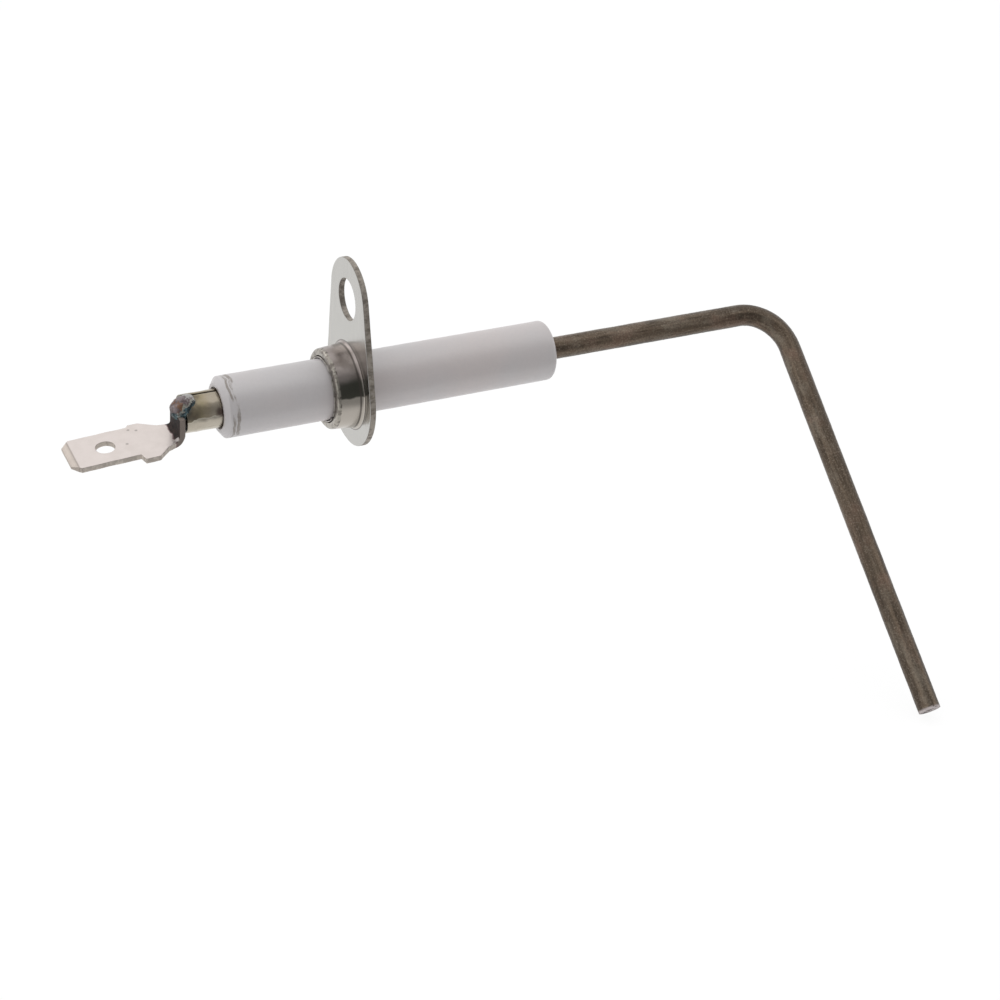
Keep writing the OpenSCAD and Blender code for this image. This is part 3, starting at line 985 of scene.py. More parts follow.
@dataclass
class ElectrodeRod:
    """The spark rod: a straight run, a bend and the leg, swept from one circle."""

    bend_r: float = 6.0
    bend_angle: float = math.radians(90.4)
    leg_turn: float = math.radians(48.4)
    leg_len: float = 60.0
    rod_r: float = 1.5
    edge_round: float = 0.12
    scale_depth: float = 0.018
    bend_flat: float = 0.018
    torn_depth: float = 0.05
    columns: int = 56
    step: float = 0.26
    rear_rows: int = 6
    tip_rows: int = 9

    def path(self, s: Array, start_x: float, straight: float) -> Tuple[Array, Array]:
        """The centre line and the bend's outward normal, as functions of the length s.

        The turned angle is (s - straight) / bend_r, held between 0 and the whole bend. Within the bend
        the place is the bend's centre plus bend_r times the normal; after it the line runs on along
        the tangent.

        Args:
            s: lengths from the rod's rear end.
            start_x: the rear end's place on X.
            straight: length of the first straight run.

        Returns:
            Centres and normals, in the plane of the bend before the leg is turned.
        """
        turned = np.clip((s - straight) / self.bend_r, 0.0, self.bend_angle)
        normal = np.stack([np.sin(turned), 0.0 * s, np.cos(turned)], axis=-1)
        tangent = np.stack([np.cos(turned), 0.0 * s, -np.sin(turned)], axis=-1)
        centre = np.array([start_x + straight, 0.0, -self.bend_r]) + self.bend_r * normal
        before = np.minimum(s - straight, 0.0)[:, None]
        after = np.maximum(s - straight - self.bend_r * self.bend_angle, 0.0)[:, None]
        return centre + before * ALONG_X + after * tangent, normal

    def rows(self, total: float) -> Tuple[Array, Array]:
        """Where the sweep's rows lie: a flat end, its rounded edge, the long run, and both again.

        Args:
            total: the rod's whole length.

        Returns:
            Lengths from the rear end, and the radius at each.
        """
        turn = np.linspace(0.0, 0.5 * math.pi, 5)
        corner = self.edge_round * (1.0 - np.sin(turn))
        inset = self.edge_round * (1.0 - np.cos(turn[::-1]))
        run = np.linspace(self.edge_round, total - self.edge_round,
                          int((total - 2.0 * self.edge_round) / self.step))
        s = np.concatenate([np.zeros(self.rear_rows), corner[1:], run[1:-1],
                            total - corner[::-1][:-1], np.full(self.tip_rows, total)])
        skin_r = self.rod_r - self.scale_depth
        face_r = skin_r - self.edge_round
        r = np.concatenate([np.linspace(0.0, face_r, self.rear_rows), skin_r - inset[1:],
                            np.full(len(run) - 2, skin_r), skin_r - inset[::-1][:-1],
                            np.linspace(face_r, 0.0, self.tip_rows)])
        return s, r

    def surface(self) -> bpy.types.Object:
        """Carries a circle along the path, with oxide scale on its skin and a cut end."""
        low, high = node_box("electrode_rod")
        straight = high[0] - self.rod_r - self.bend_r - low[0]
        lean = self.bend_angle - 0.5 * math.pi
        leg = (self.leg_len - self.bend_r * (1.0 + math.sin(lean))) / math.cos(lean)
        total = straight + self.bend_r * self.bend_angle + leg
        s, r = self.rows(total)
        centre, normal = self.path(s, low[0], straight)
        angles = ring_angles(self.columns)
        flow = np.stack([s[:, None] + 0.0 * angles, r[:, None] * np.cos(angles),
                         r[:, None] * np.sin(angles)], axis=-1)
        side = np.array([0.0, 1.0, 0.0])
        spoke = normal[:, None] * np.cos(angles)[:, None] + side * np.sin(angles)[:, None]
        lay = flow * np.array([0.22, 1.0, 1.0])
        scale = 0.45 * ripple(lay, 0.8, 7) + 0.4 * ripple(flow, 0.55, 8) + 0.3 * ripple(flow, 2.6, 9)
        rough = self.scale_depth * np.clip(scale, -1.6, 0.95)
        body = smoothstep(0.0, self.rod_r, r)[:, None]
        bent = smoothstep(straight - 1.0, straight + 3.0, s) * smoothstep(
            straight + 12.0, straight + 7.0, s)
        flat = 1.0 - self.bend_flat * bent[:, None] * np.cos(angles) ** 2
        grid = centre[:, None] + spoke * (r[:, None] * flat + rough * body)[..., None]
        torn = (s > total - 1e-6)[:, None] * self.torn_depth * np.abs(ripple(grid, 0.9, 10))
        grid = grid + self.pull_back(torn, normal)
        c, d = math.cos(self.leg_turn), math.sin(self.leg_turn)
        turned = np.stack([grid[..., 0], c * grid[..., 1] + d * grid[..., 2],
                           -d * grid[..., 1] + c * grid[..., 2]], axis=-1)
        bare = ((s > total - 0.5 * self.edge_round) * 1.0)[:, None] + 0.0 * angles
        return closed_mesh("spark_rod", turned, flow=flow * MM, bare=bare)

    @staticmethod
    def pull_back(amount: Array, normal: Array) -> Array:
        """Moves points back along the rod: the backward tangent is the normal turned by a quarter."""
        back = np.stack([-normal[:, 2], 0.0 * normal[:, 0], normal[:, 0]], axis=-1)
        return back[:, None] * amount[..., None]

    def build(self) -> None:
        """Makes the rod."""
        install(self.surface(), "electrode_rod", "scaled_alloy", ScaledRodFinish().material())


@dataclass
class Terminal:
    """The rolled sleeve, the stamped tab and the weld that joins them to the rod.

    Lengths along the tab are measured from its tip. A shift moves its stretch off the blade's centre
    line, towards the near edge.
    """

    sleeve_bore_r: float = 1.52
    slit_half: float = 0.2
    lip_round: float = 0.16
    edge_round: float = 0.1
    tab_t: float = 0.8
    tab_w: float = 6.3
    tab_len: float = 13.35
    tip_w: float = 4.2
    tip_corner: float = 1.1
    tip_shift: float = 0.25
    tip_bevel_len: float = 0.85
    tip_bevel: float = 0.2
    hole_r: float = 1.2
    hole_inset: float = 5.0
    shoulder_w: float = 7.8
    shoulder_shift: float = 0.4
    shoulder_inset: float = 8.6
    shoulder_ramp: float = 0.3
    shoulder_len: float = 1.3
    shoulder_extra: float = 0.6
    neck_w: float = 5.1
    neck_shift: float = 0.4
    neck_len: float = 1.0
    foot_w: float = 3.9
    foot_shift: float = 0.25
    foot_top: float = 2.4
    foot_ramp: float = 0.5
    bend_in_r: float = 0.6
    tab_drop: float = 2.2
    pitch: float = math.radians(2.7)
    roll: float = math.radians(9.0)
    top_round: float = 0.10
    low_round: float = 0.24
    later_rows: Tuple[int, ...] = (4, 9, 9, 26, 12)
    marks: Tuple[Band, ...] = ((8.7, 2.45), (9.6, 2.0), (7.7, -0.35))
    # Place of the painted highlight on the bend, from the tip and across.
    glint_spot: Band = (13.9, -2.0)
    bead_r: float = 1.45
    bead_lumps: Tuple[Tuple[float, ...], ...] = ((0.0, 0.0, 0.0, 1.0), (0.6, 0.1, 0.5, 0.8),
                                                 (-0.45, 0.3, -0.15, 0.78), (-0.35, -0.1, -0.6, 0.75))
    bead_pits: int = 26
    weld: Place = field(init=False)

    def __post_init__(self) -> None:
        """Finds the weld's middle from the sleeve's end."""
        low, _ = node_box("terminal_sleeve")
        self.weld = (low[0], -0.8, 1.25)

    # -- sleeve --

    def sleeve_paths(self, r_out: float, inset: float, count: int = 150) -> Tuple[Array, Array]:
        """Outer and inner outline of the C-shaped section, from one lip of the slit to the other.

        Each outline is an arc whose ends stop at the slit. Near its ends the outer one curls in, so
        that the rolled sheet's lips are rounded.

        Args:
            r_out: outer radius.
            inset: how far every side of the section is drawn in.
            count: points in each outline.

        Returns:
            Two arrays of (y, z).
        """
        share = np.linspace(0.0, 1.0, count)
        packed = 0.25 - 0.25 * np.cos(math.pi * share) + 0.5 * share
        gap = (self.slit_half + inset) / r_out
        a = gap + packed * (2.0 * math.pi - 2.0 * gap)
        to_lip = np.minimum(a - gap, 2.0 * math.pi - gap - a) * r_out
        outer_r = r_out - inset - edge_drop(to_lip, self.lip_round)
        inner_gap = (self.slit_half + inset) / self.sleeve_bore_r
        b = inner_gap + packed * (2.0 * math.pi - 2.0 * inner_gap)
        return outer_r[:, None] * spokes(a), (self.sleeve_bore_r + inset) * spokes(b)

    def sleeve(self) -> bpy.types.Object:
        """Carries the C-shaped section along X, drawn in at both ends to round them."""
        low, high = node_box("terminal_sleeve")
        r_out = high[1] - 0.01
        turn = np.linspace(0.0, 0.5 * math.pi, 5)
        lead = self.edge_round * (1.0 - np.sin(turn))
        run = np.linspace(low[0] + self.edge_round, high[0] - self.edge_round, 60)
        x = np.sort(np.concatenate([low[0] + lead, run[1:-1], high[0] - lead]))
        inset = edge_drop(np.minimum(x - low[0], high[0] - x), self.edge_round)
        pairs = [self.sleeve_paths(r_out, float(d)) for d in inset]
        loop = np.stack([np.concatenate([outer, inner[::-1]]) for outer, inner in pairs])
        grid = np.concatenate([np.broadcast_to(x[:, None, None], loop.shape[:2] + (1,)), loop], -1)
        dent = 0.02 * ripple(grid, 3.2, 31) + 0.006 * ripple(grid, 0.8, 32)
        shrink = 1.0 - np.clip(np.abs(dent), 0.0, 0.04) / r_out
        grid = grid * ALONG_X + grid * OFF_X * shrink[..., None]
        shell = Shell()
        shell.add(grid, close_columns=True)
        count = loop.shape[1] // 2
        for row in (0, -1):
            shell.add(np.stack([grid[row, :count], grid[row, count:][::-1]]))
        return shell.build("rolled_sleeve")

    # -- tab --

    def tab_corners(self) -> Tuple[Array, Array]:
        """The blank's near and far edge as matching corners (distance from the tip, place across)."""
        bend_end = self.tab_len + (self.bend_in_r + 0.5 * self.tab_t) * (0.5 * math.pi - self.pitch)
        ramp_end = self.shoulder_inset + self.shoulder_ramp
        edges = []
        for side, extra in ((-1.0, self.shoulder_extra), (1.0, 0.0)):
            tip, blade = side * 0.5 * self.tip_w, side * 0.5 * self.tab_w
            shoulder = side * 0.5 * self.shoulder_w - self.shoulder_shift
            neck = side * 0.5 * self.neck_w - self.neck_shift
            foot = side * 0.5 * self.foot_w - self.foot_shift
            edges.append(np.array([
                (0.0, tip), (self.tip_corner, blade), (self.shoulder_inset, blade),
                (ramp_end, shoulder), (ramp_end + self.shoulder_len + extra, shoulder),
                (self.tab_len - self.neck_len, neck), (bend_end - self.foot_ramp, foot),
                (bend_end + self.foot_top, foot)]))
        return edges[0], edges[1]

    @staticmethod
    def offset(corners: Array, side: float, inset: float) -> Array:
        """Moves an edge inwards: each corner goes along its mitre, the mean normal over its cosine.

        Args:
            corners: the edge's corners.
            side: 1 where the metal lies to the edge's left, -1 where it lies to its right.
            inset: how far the edge moves.

        Returns:
            The moved corners.
        """
        run = np.diff(corners, axis=0)
        normal = np.stack([-run[:, 1], run[:, 0]], axis=-1) * side
        normal /= np.linalg.norm(normal, axis=1, keepdims=True)
        first = np.vstack([normal[:1], normal])
        second = np.vstack([normal, normal[-1:]])
        mitre = (first + second) / (1.0 + np.sum(first * second, axis=1, keepdims=True))
        moved = corners + inset * mitre
        moved[0, 0] = corners[0, 0] + inset
        moved[-1, 0] = corners[-1, 0] - inset
        return moved

    def flat_grid(self, inset: float) -> Array:
        """The flat blank as a grid of (distance from the tip, place across) with every edge drawn in.

        A row joins a place on the near edge to the matching place on the far edge, and q counts the
        corners passed. Inside the hole's span each row stops at the hole's half chord, so the blank is
        two strips that meet elsewhere.

        Args:
            inset: how far the outline, and the hole's wall, are drawn into the metal.

        Returns:
            Rows by columns by two; the columns are the near strip, then the far strip.
        """
        near, far = self.tab_corners()
        near, far = self.offset(near, 1.0, inset), self.offset(far, -1.0, inset)
        radius = self.hole_r + inset
        turn = np.linspace(math.pi, 0.0, 41)
        x0, x1 = 0.5 * (near[1:3, 0] + far[1:3, 0])
        hole_q = 1.0 + (self.hole_inset + radius * np.cos(turn) - x0) / (x1 - x0)
        later = [np.linspace(k, k + 1.0, n)[1:] for k, n in enumerate(self.later_rows, start=2)]
        q = np.concatenate([
            np.linspace(0.0, 1.0, 7)[:-1], np.linspace(1.0, hole_q[0], 12)[:-1], hole_q,
            np.linspace(hole_q[-1], 2.0, 12)[1:], *later])
        index = np.arange(len(near))
        n = np.stack([np.interp(q, index, near[:, k]) for k in range(2)], axis=-1)
        f = np.stack([np.interp(q, index, far[:, k]) for k in range(2)], axis=-1)
        middle = 0.5 * (n + f)
        middle[:, 1] = np.where(q < 2.0, 0.0, middle[:, 1] * smoothstep(2.0, 3.0, q))
        chord = np.sqrt(np.clip(radius ** 2 - (middle[:, 0] - self.hole_inset) ** 2, 0.0, None))
        chord = np.where(np.abs(q - 1.5) < 0.5, chord, 0.0)
        chord = np.where(chord < 1e-5, 0.0, chord)[:, None] * np.array([0.0, 1.0])
        share = np.linspace(0.0, 1.0, 12)[None, :, None]
        strip_near = n[:, None] + (middle - chord - n)[:, None] * share
        strip_far = (middle + chord)[:, None] + (f - middle - chord)[:, None] * share
        return np.concatenate([strip_near, strip_far], axis=1)

    def fold(self, flat: Array, height: Array) -> Array:
        """Bends the blank and puts it in its place.

        A point at distance l past the bend's start and height h over the middle of the sheet lies, for
        l below 0, on the blade's straight line; within the bend, on the arc of radius R - h at angle
        l / R from the blade's own normal; and past the bend, on the foot, which stands upright. All of
        it is then rolled about a line parallel to the axis.

        Args:
            flat: (distance from the tip, place across).
            height: height over the sheet's middle, positive on the blade's top face.

        Returns:
            Points in the row frame.
        """
        low, _ = node_box("electrode_rod")
        bend_x = low[0] - self.tab_t - self.bend_in_r
        middle_r = self.bend_in_r + 0.5 * self.tab_t
        start, whole = self.pitch - 0.5 * math.pi, 0.5 * math.pi - self.pitch
        past = flat[..., 0] - self.tab_len
        turned = np.clip(past / middle_r, 0.0, whole)
        angle = start + turned
        straight = past - turned * middle_r
        x = bend_x + (middle_r - height) * np.cos(angle) - straight * np.sin(angle)
        z = self.bend_in_r + (middle_r - height) * np.sin(angle) + straight * np.cos(angle)
        y = flat[..., 1] - self.tip_shift * np.clip(1.0 - flat[..., 0] / self.tab_len, 0.0, None)
        c, s = math.cos(self.roll), math.sin(self.roll)
        return np.stack([x, c * y - s * z, s * y + c * z - self.tab_drop], axis=-1)

    def tab(self) -> bpy.types.Object:
        """Two faces, a rounded edge all round and the hole's rounded wall, from one family of grids.

        Each layer of the stack is the blank at one height: x, y, z and the length from the tip.
        """
        half = 0.5 * self.tab_t
        inset, depth = sheet_edge(self.tab_t, self.top_round, self.low_round, 6, 3)
        flats = np.stack([self.flat_grid(float(d)) for d in inset])
        thin = 1.0 - (self.tip_bevel / half) * (
            1.0 - smoothstep(0.0, self.tip_bevel_len, flats[..., 0]))
        stack = self.fold(flats, (half - depth)[:, None, None] * thin)
        stack = stack + 0.012 * ripple(stack, 3.5, 41)[..., None] * np.array([0.0, 0.2, 1.0])
        stack = np.concatenate([stack, flats[..., :1]], axis=-1)
        shell = Shell(["cut", "along"])
        columns = stack.shape[2] // 2
        order = np.arange(len(inset))
        edge = smoothstep(1.0, 3.0, np.minimum(order, order[::-1]))[:, None]

        def lay(grid: Array, closed: bool, cut: Union[float, Array]) -> None:
            """Adds a grid whose last entry is the length from the tip."""
            shell.add(grid[..., :3], close_columns=closed, cut=cut, along=grid[..., 3])

        for part in (slice(0, columns), slice(columns, None)):
            lay(stack[0, :, part], False, 0.0)
            lay(stack[-1, :, part], False, 0.0)
        outline = np.concatenate([stack[:, 0, :], stack[:, 1:, -1], stack[:, -1, ::-1][:, 1:],
                                  stack[:, ::-1, 0][:, 1:-1]], axis=1)
        lay(outline, True, edge + np.zeros(outline.shape[1]))
        first, last = self.hole_rows(stack[..., :3])
        wall_near, wall_far = stack[:, first:last, columns - 1], stack[:, first:last, columns]
        wall = np.concatenate([wall_near, wall_far[:, ::-1][:, 1:-1]], axis=1)
        lay(wall, True, edge + np.zeros(wall.shape[1]))
        return shell.build("push_on_tab")

    @staticmethod
    def hole_rows(stack: Array) -> Tuple[int, int]:
        """First and last row of the hole's span, where the two strips part."""
        columns = stack.shape[2] // 2
        layer = stack.shape[0] // 2
        gap = np.linalg.norm(stack[layer, :, columns - 1] - stack[layer, :, columns], axis=-1)
        open_rows = np.nonzero(gap > 1e-3)[0]
        return int(open_rows[0]) - 1, int(open_rows[-1]) + 2

    # -- weld --

    def bead(self) -> bpy.types.Object:
        """One closed blob: in each direction its radius is the soft maximum of four lumps.

        The ray from the main lump's centre leaves lump k at t = b + sqrt(r^2 - |c|^2 + b^2), where c is
        the lump's centre, r its radius and b the projection of c on the ray. The soft maximum is the
        eighth root of the sum of eighth powers. Ripples and pits are then added.
        """
        lumps = np.array(self.bead_lumps)
        theta = np.linspace(0.0, math.pi, 110)[:, None]
        phi = ring_angles(180)[None, :]
        ray = np.stack([np.sin(theta) * np.cos(phi), np.sin(theta) * np.sin(phi),
                        np.cos(theta) + 0.0 * phi], axis=-1)
        b = ray @ lumps[:, :3].T
        room = (lumps[:, 3] * self.bead_r) ** 2 - np.sum(lumps[:, :3] ** 2, axis=1) + b ** 2
        leave = np.where(room > 0.0, b + np.sqrt(np.clip(room, 0.0, None)), 0.3)
        r = (np.clip(leave, 0.05, None) ** 8).sum(axis=-1) ** 0.125 * 0.955
        r = r + 0.045 * ripple(ray * 1.5, 1.2, 51) + 0.012 * ripple(ray * 1.5, 0.42, 52)
        rng = np.random.default_rng(53)
        pits = rng.normal(size=(self.bead_pits, 3))
        pits /= np.linalg.norm(pits, axis=1, keepdims=True)
        width = rng.uniform(0.05, 0.14, self.bead_pits)
        depth = rng.uniform(0.02, 0.07, self.bead_pits)
        away = np.clip(ray @ pits.T, -1.0, 1.0)
        r = r - (depth * np.exp(-(1.0 - away) / width ** 2)).sum(axis=-1)
        return closed_mesh("weld_nugget", np.array(self.weld) + ray * r[..., None])

    def build(self) -> None:
        """Makes the sleeve, the tab and the weld."""
        mouth, _ = node_box("insulator")
        install(self.sleeve(), "terminal_sleeve", "bright_nickel",
                BrightSleeveFinish(self.weld, float(mouth[0])).material())
        # Places of the marks and of the painted highlight on the tab's top face; bare is the
        # highlight's place.
        dots = np.array([*self.marks, self.glint_spot])
        on_top = self.fold(dots, np.full(len(dots), 0.5 * self.tab_t))
        *marks, bare = (tuple(float(v) for v in dot) for dot in on_top)
        install(self.tab(), "terminal_tab", "satin_nickel",
                SatinTabFinish(tuple(marks), bare, self.tip_bevel_len, self.tab_len).material())
        install(self.bead(), "weld_bead", "weld_metal", WeldFinish(self.weld).material())


@dataclass
class Bracket:
    """The stamped flange with its screw hole and drawn collar, and the thin liner in the collar."""

    plate_t: float = 0.8
    lobe_r: float = 7.42
    lobe_drop: float = 0.68
    screw_lobe_r: float = 5.4
    screw_z: float = 11.8
    screw_r: float = 2.75
    split_z: float = 7.6
    edge_round: float = 0.09
    bore_r: float = 4.34
    root_r: float = 5.54
    rim_r: float = 5.24
    rim_round: float = 0.40
    root_round: float = 0.4
    mouth_round: float = 0.6
    pits: int = 22
    pit_r: float = 5.15
    pit_depth: float = 0.035
    liner_in_r: float = 4.10
    liner_out_r: float = 4.27
    notch_angle: float = math.radians(232.0)
    notch_half: Band = (0.085, 0.05)
    notch_depth: float = 0.7
    root_end_r: float = field(init=False)
    mouth_end_r: float = field(init=False)

    def __post_init__(self) -> None:
        """Finds where the collar's two fillets run out into the plate's faces."""
        self.root_end_r = self.root_r + self.root_round
        self.mouth_end_r = self.bore_r + self.mouth_round

    def side(self) -> Tuple[float, float]:
        """Sine and cosine of the straight sides' slope against the plate's length."""
        sine = (self.lobe_r - self.screw_lobe_r) / (self.screw_z + self.lobe_drop)
        return sine, math.sqrt(1.0 - sine * sine)

    def half_width(self, inset: float) -> float:
        """Half the plate's width on the line where its two rings meet, with its edge drawn in."""
        sine, cosine = self.side()
        return (self.lobe_r - inset - sine * (self.split_z + self.lobe_drop)) / cosine

    def outline(self, centre_z: float, angles: Array, inset: float) -> Array:
        """Where rays from a point on the plate's middle line meet its outline.

        The outline is two circles and their common tangents. A ray meets the tangent at
        t = (h - n.c) / (n.u); where that point lies past a circle's tangent point, the ray meets that
        circle at t = b + sqrt(b^2 + r^2 - d^2) instead.

        Args:
            centre_z: the rays' start.
            angles: directions, from +Z towards +Y.
            inset: how far the outline is drawn in.

        Returns:
            Points (y, z).
        """
        sine, cosine = self.side()
        wide, narrow = self.lobe_r - inset, self.screw_lobe_r - inset
        u = spokes(angles)
        reach = np.abs(u[:, 0]) * cosine + u[:, 1] * sine
        line = (wide - sine * (centre_z + self.lobe_drop)) / np.where(reach > 1e-6, reach, 1e-6)
        z_line = centre_z + line * u[:, 1]

        def circle(z0: float, r: float) -> Array:
            """Length of the ray up to a circle."""
            b = u[:, 1] * (z0 - centre_z)
            return b + np.sqrt(np.clip(b * b + r * r - (z0 - centre_z) ** 2, 0.0, None))

        t = np.where(z_line > narrow * sine + self.screw_z, circle(self.screw_z, narrow), line)
        on_lobe = (z_line < wide * sine - self.lobe_drop) | (reach <= 1e-6)
        t = np.where(on_lobe, circle(-self.lobe_drop, wide), t)
        return np.array([0.0, centre_z]) + t[:, None] * u

    def rim_paths(self, inset: float) -> Tuple[Array, Array]:
        """The outline's part round the collar and its part round the screw hole, end to end."""
        half = self.half_width(inset)
        low = math.atan2(half, self.split_z)
        high = math.atan2(half, self.split_z - self.screw_z)
        collar = self.outline(0.0, np.linspace(low, 2.0 * math.pi - low, 181), inset)
        screw = self.outline(self.screw_z, np.linspace(-high, high, 121), inset)
        return collar, screw

    def borders(self, inset: float) -> Tuple[Array, Array]:
        """Closed outer borders of the two rings; both hold the same points on their common line."""
        collar, screw = self.rim_paths(inset)
        half = self.half_width(inset)
        across = np.linspace(-half, half, 33)[1:-1]
        line = np.stack([across, np.full(len(across), self.split_z)], axis=-1)
        return np.vstack([collar, line]), np.vstack([screw, line[::-1]])

    @staticmethod
    def raise_to(x: Union[float, Array], plane: Array) -> Array:
        """Points (y, z) at place x."""
        return np.concatenate([np.broadcast_to(np.asarray(x, float), plane.shape[:-1])[..., None],
                               plane], axis=-1)

    def warp(self, grid: Array) -> Array:
        """Sheet that was stamped isn't quite flat: x moves by a slow field of y and z."""
        plane = grid * OFF_X
        radius = np.linalg.norm(plane, axis=-1)
        lift = 0.02 * np.clip(ripple(plane, 9.0, 61), -1.2, 1.2) * smoothstep(6.0, 7.5, radius)
        front = smoothstep(0.0, -self.plate_t, grid[..., 0])
        grid = grid.copy()
        grid[..., 0] -= np.abs(lift) * (0.2 + 0.8 * front) * (grid[..., 0] > -self.plate_t - 0.01)
        return grid

    def add_faces(self, shell: Shell, borders: Tuple[Array, Array], angles: Tuple[Array, Array],
                  screw_r: float) -> None:
        """Adds both faces, each as one ring round the collar and one round the screw hole.

        Args:
            shell: what they are added to.
            borders: outer borders of the two rings.
            angles: each border's directions from its ring's centre.
            screw_r: radius of the screw hole at the face.
        """
        share = np.linspace(0.0, 1.0, 14)[:, None, None]
        hole = np.array([0.0, self.screw_z]) + screw_r * spokes(angles[1])
        for x, inner_r in ((-self.plate_t, self.root_end_r), (0.0, self.mouth_end_r)):
            for inner, outer in zip((inner_r * spokes(angles[0]), hole), borders):
                face = self.raise_to(x, inner[None] * (1.0 - share) + outer[None] * share)
                shell.add(self.warp(face), close_columns=True)

    def add_edges(self, shell: Shell, angles: Array) -> None:
        """Adds the plate's rounded edge and the screw hole's wall, both torn where they were cut.

        Args:
            shell: what they are added to.
            angles: directions round the screw hole.
        """
        inset, depth = sheet_edge(self.plate_t, self.edge_round, self.edge_round, 5, 4)
        place = depth - self.plate_t
        order = np.arange(len(inset))
        torn = smoothstep(0.0, 2.0, np.minimum(order, order[::-1]) - 2.0)[:, None]
        rims = [self.rim_paths(float(d)) for d in inset]
        edge = np.stack([self.raise_to(float(x), np.vstack([collar[:-1], screw[:-1]]))
                         for x, (collar, screw) in zip(place, rims)])
        ring = (self.screw_r + inset)[:, None, None] * spokes(angles)
        wall = self.raise_to(place[:, None] + 0.0 * angles, np.array([0.0, self.screw_z]) + ring)
        for grid in (edge, wall):
            shell.add(self.warp(grid), close_columns=True, cut=torn + np.zeros(grid.shape[1]))

    def collar_section(self, rim_x: float) -> Array:
        """Half section of the collar, from the plate's terminal face over the rim to the mouth."""
        corners = [(-self.plate_t, self.root_end_r), (-self.plate_t, self.root_r),
                   (rim_x, self.rim_r), (rim_x, self.bore_r), (0.0, self.bore_r),
                   (0.0, self.mouth_end_r)]
        return rounded(corners, [0.95 * self.root_round, self.rim_round, 0.16,
                                 0.999 * self.mouth_round], 0.22, 8)

    def dent(self, collar: Array, section: Array, rim_x: float) -> Array:
        """Tool marks on the collar's outside: shallow ripples, and pits along the rim's shoulder.

        Args:
            collar: the collar's grid.
            section: its half section.
            rim_x: place of its rim.

        Returns:
            The marked grid.
        """
        outside = smoothstep(self.bore_r + 0.15, self.bore_r + 0.45, section[:, 1])
        free = smoothstep(-self.plate_t - 0.1, -self.plate_t - 0.5, section[:, 0])
        rng = np.random.default_rng(62)
        turn = rng.uniform(0.0, 2.0 * math.pi, self.pits)
        at_x = rim_x + rng.uniform(0.12, 0.5, self.pits)
        spot = np.stack([at_x, self.pit_r * np.sin(turn), self.pit_r * np.cos(turn)], axis=-1)
        size = rng.uniform(0.10, 0.24, self.pits)
        away = np.linalg.norm(collar[:, :, None] - spot, axis=-1)
        pits = (self.pit_depth * np.exp(-(away / size) ** 2)).sum(axis=-1)
        slow = 0.007 * np.abs(ripple(collar, 4.5, 63)) + 0.001 * np.abs(ripple(collar, 0.9, 64))
        depth = (pits + slow) * (outside * free)[:, None]
        return collar - radial(collar) * depth[..., None]

    def plate(self) -> bpy.types.Object:
        """Both faces, the edge, the screw hole's wall and the collar."""
        rim_x = float(node_box("mounting_bracket")[0][0])
        shell = Shell(["cut", "drawn"])
        borders = self.borders(self.edge_round)
        angles = tuple(np.arctan2(border[:, 0], border[:, 1] - z)
                       for border, z in zip(borders, (0.0, self.screw_z)))
        self.add_faces(shell, borders, angles, self.screw_r + self.edge_round)
        self.add_edges(shell, angles[1])
        section = self.collar_section(rim_x)
        collar = self.dent(revolve(section, angles[0]), section, rim_x)
        drawn = smoothstep(self.root_end_r, self.root_r + 0.1, section[:, 1])[:, None]
        shell.add(collar, close_columns=True, drawn=drawn + np.zeros(len(angles[0])))
        return shell.build("stamped_bracket")

    def liner(self) -> bpy.types.Object:
        """A thin ring with a slightly ragged end and a notch where its strip meets."""
        low, high = node_box("clamp_liner")
        profile = ring_section((high[0], low[0]), (self.liner_in_r, self.liner_out_r),
                               [0.04, 0.05, 0.05, 0.04], 0.2, 4)
        angles = ring_angles(220)
        grid = revolve(profile, angles)
        away = np.abs((angles - self.notch_angle + math.pi) % (2.0 * math.pi) - math.pi)
        notch = self.notch_depth * smoothstep(*self.notch_half, away)
        ragged = 0.05 * np.abs(ripple(grid, 1.6, 65)) + notch
        grid[..., 0] += ragged * smoothstep(low[0] + 1.6, low[0], profile[:, :1])
        return closed_mesh("liner_ring", grid)

    def build(self) -> None:
        """Makes the bracket and the liner."""
        low, _ = node_box("mounting_bracket")
        install(self.plate(), "mounting_bracket", "bracket_steel",
                StampedSteelFinish(float(low[0])).material())
        install(self.liner(), "clamp_liner", "liner_metal", LinerFinish().material())


# ---- Studio ----


def placed(right: Array, up: Array, back: Array, place: Array) -> Matrix:
    """The matrix of a camera or lamp.

    Args:
        right: unit vector to its right.
        up: unit vector to its top.
        back: unit vector against the way it looks.
        place: where it stands, in millimetres.

    Returns:
        The matrix, in metres.
    """
    matrix = np.eye(4)
    matrix[:3, :3] = np.stack([right, up, back], axis=1)
    matrix[:3, 3] = place * MM
    return Matrix(matrix.tolist())


class Lamp(Enum):
    """The soft boxes: place, size in millimetres, strength in watts, and whether metal mirrors it."""

    TOP = ((20.0, 60.0, 420.0), 420.0, 0.46, False)
    REAR = ((-200.0, 380.0, 260.0), 300.0, 0.17, True)


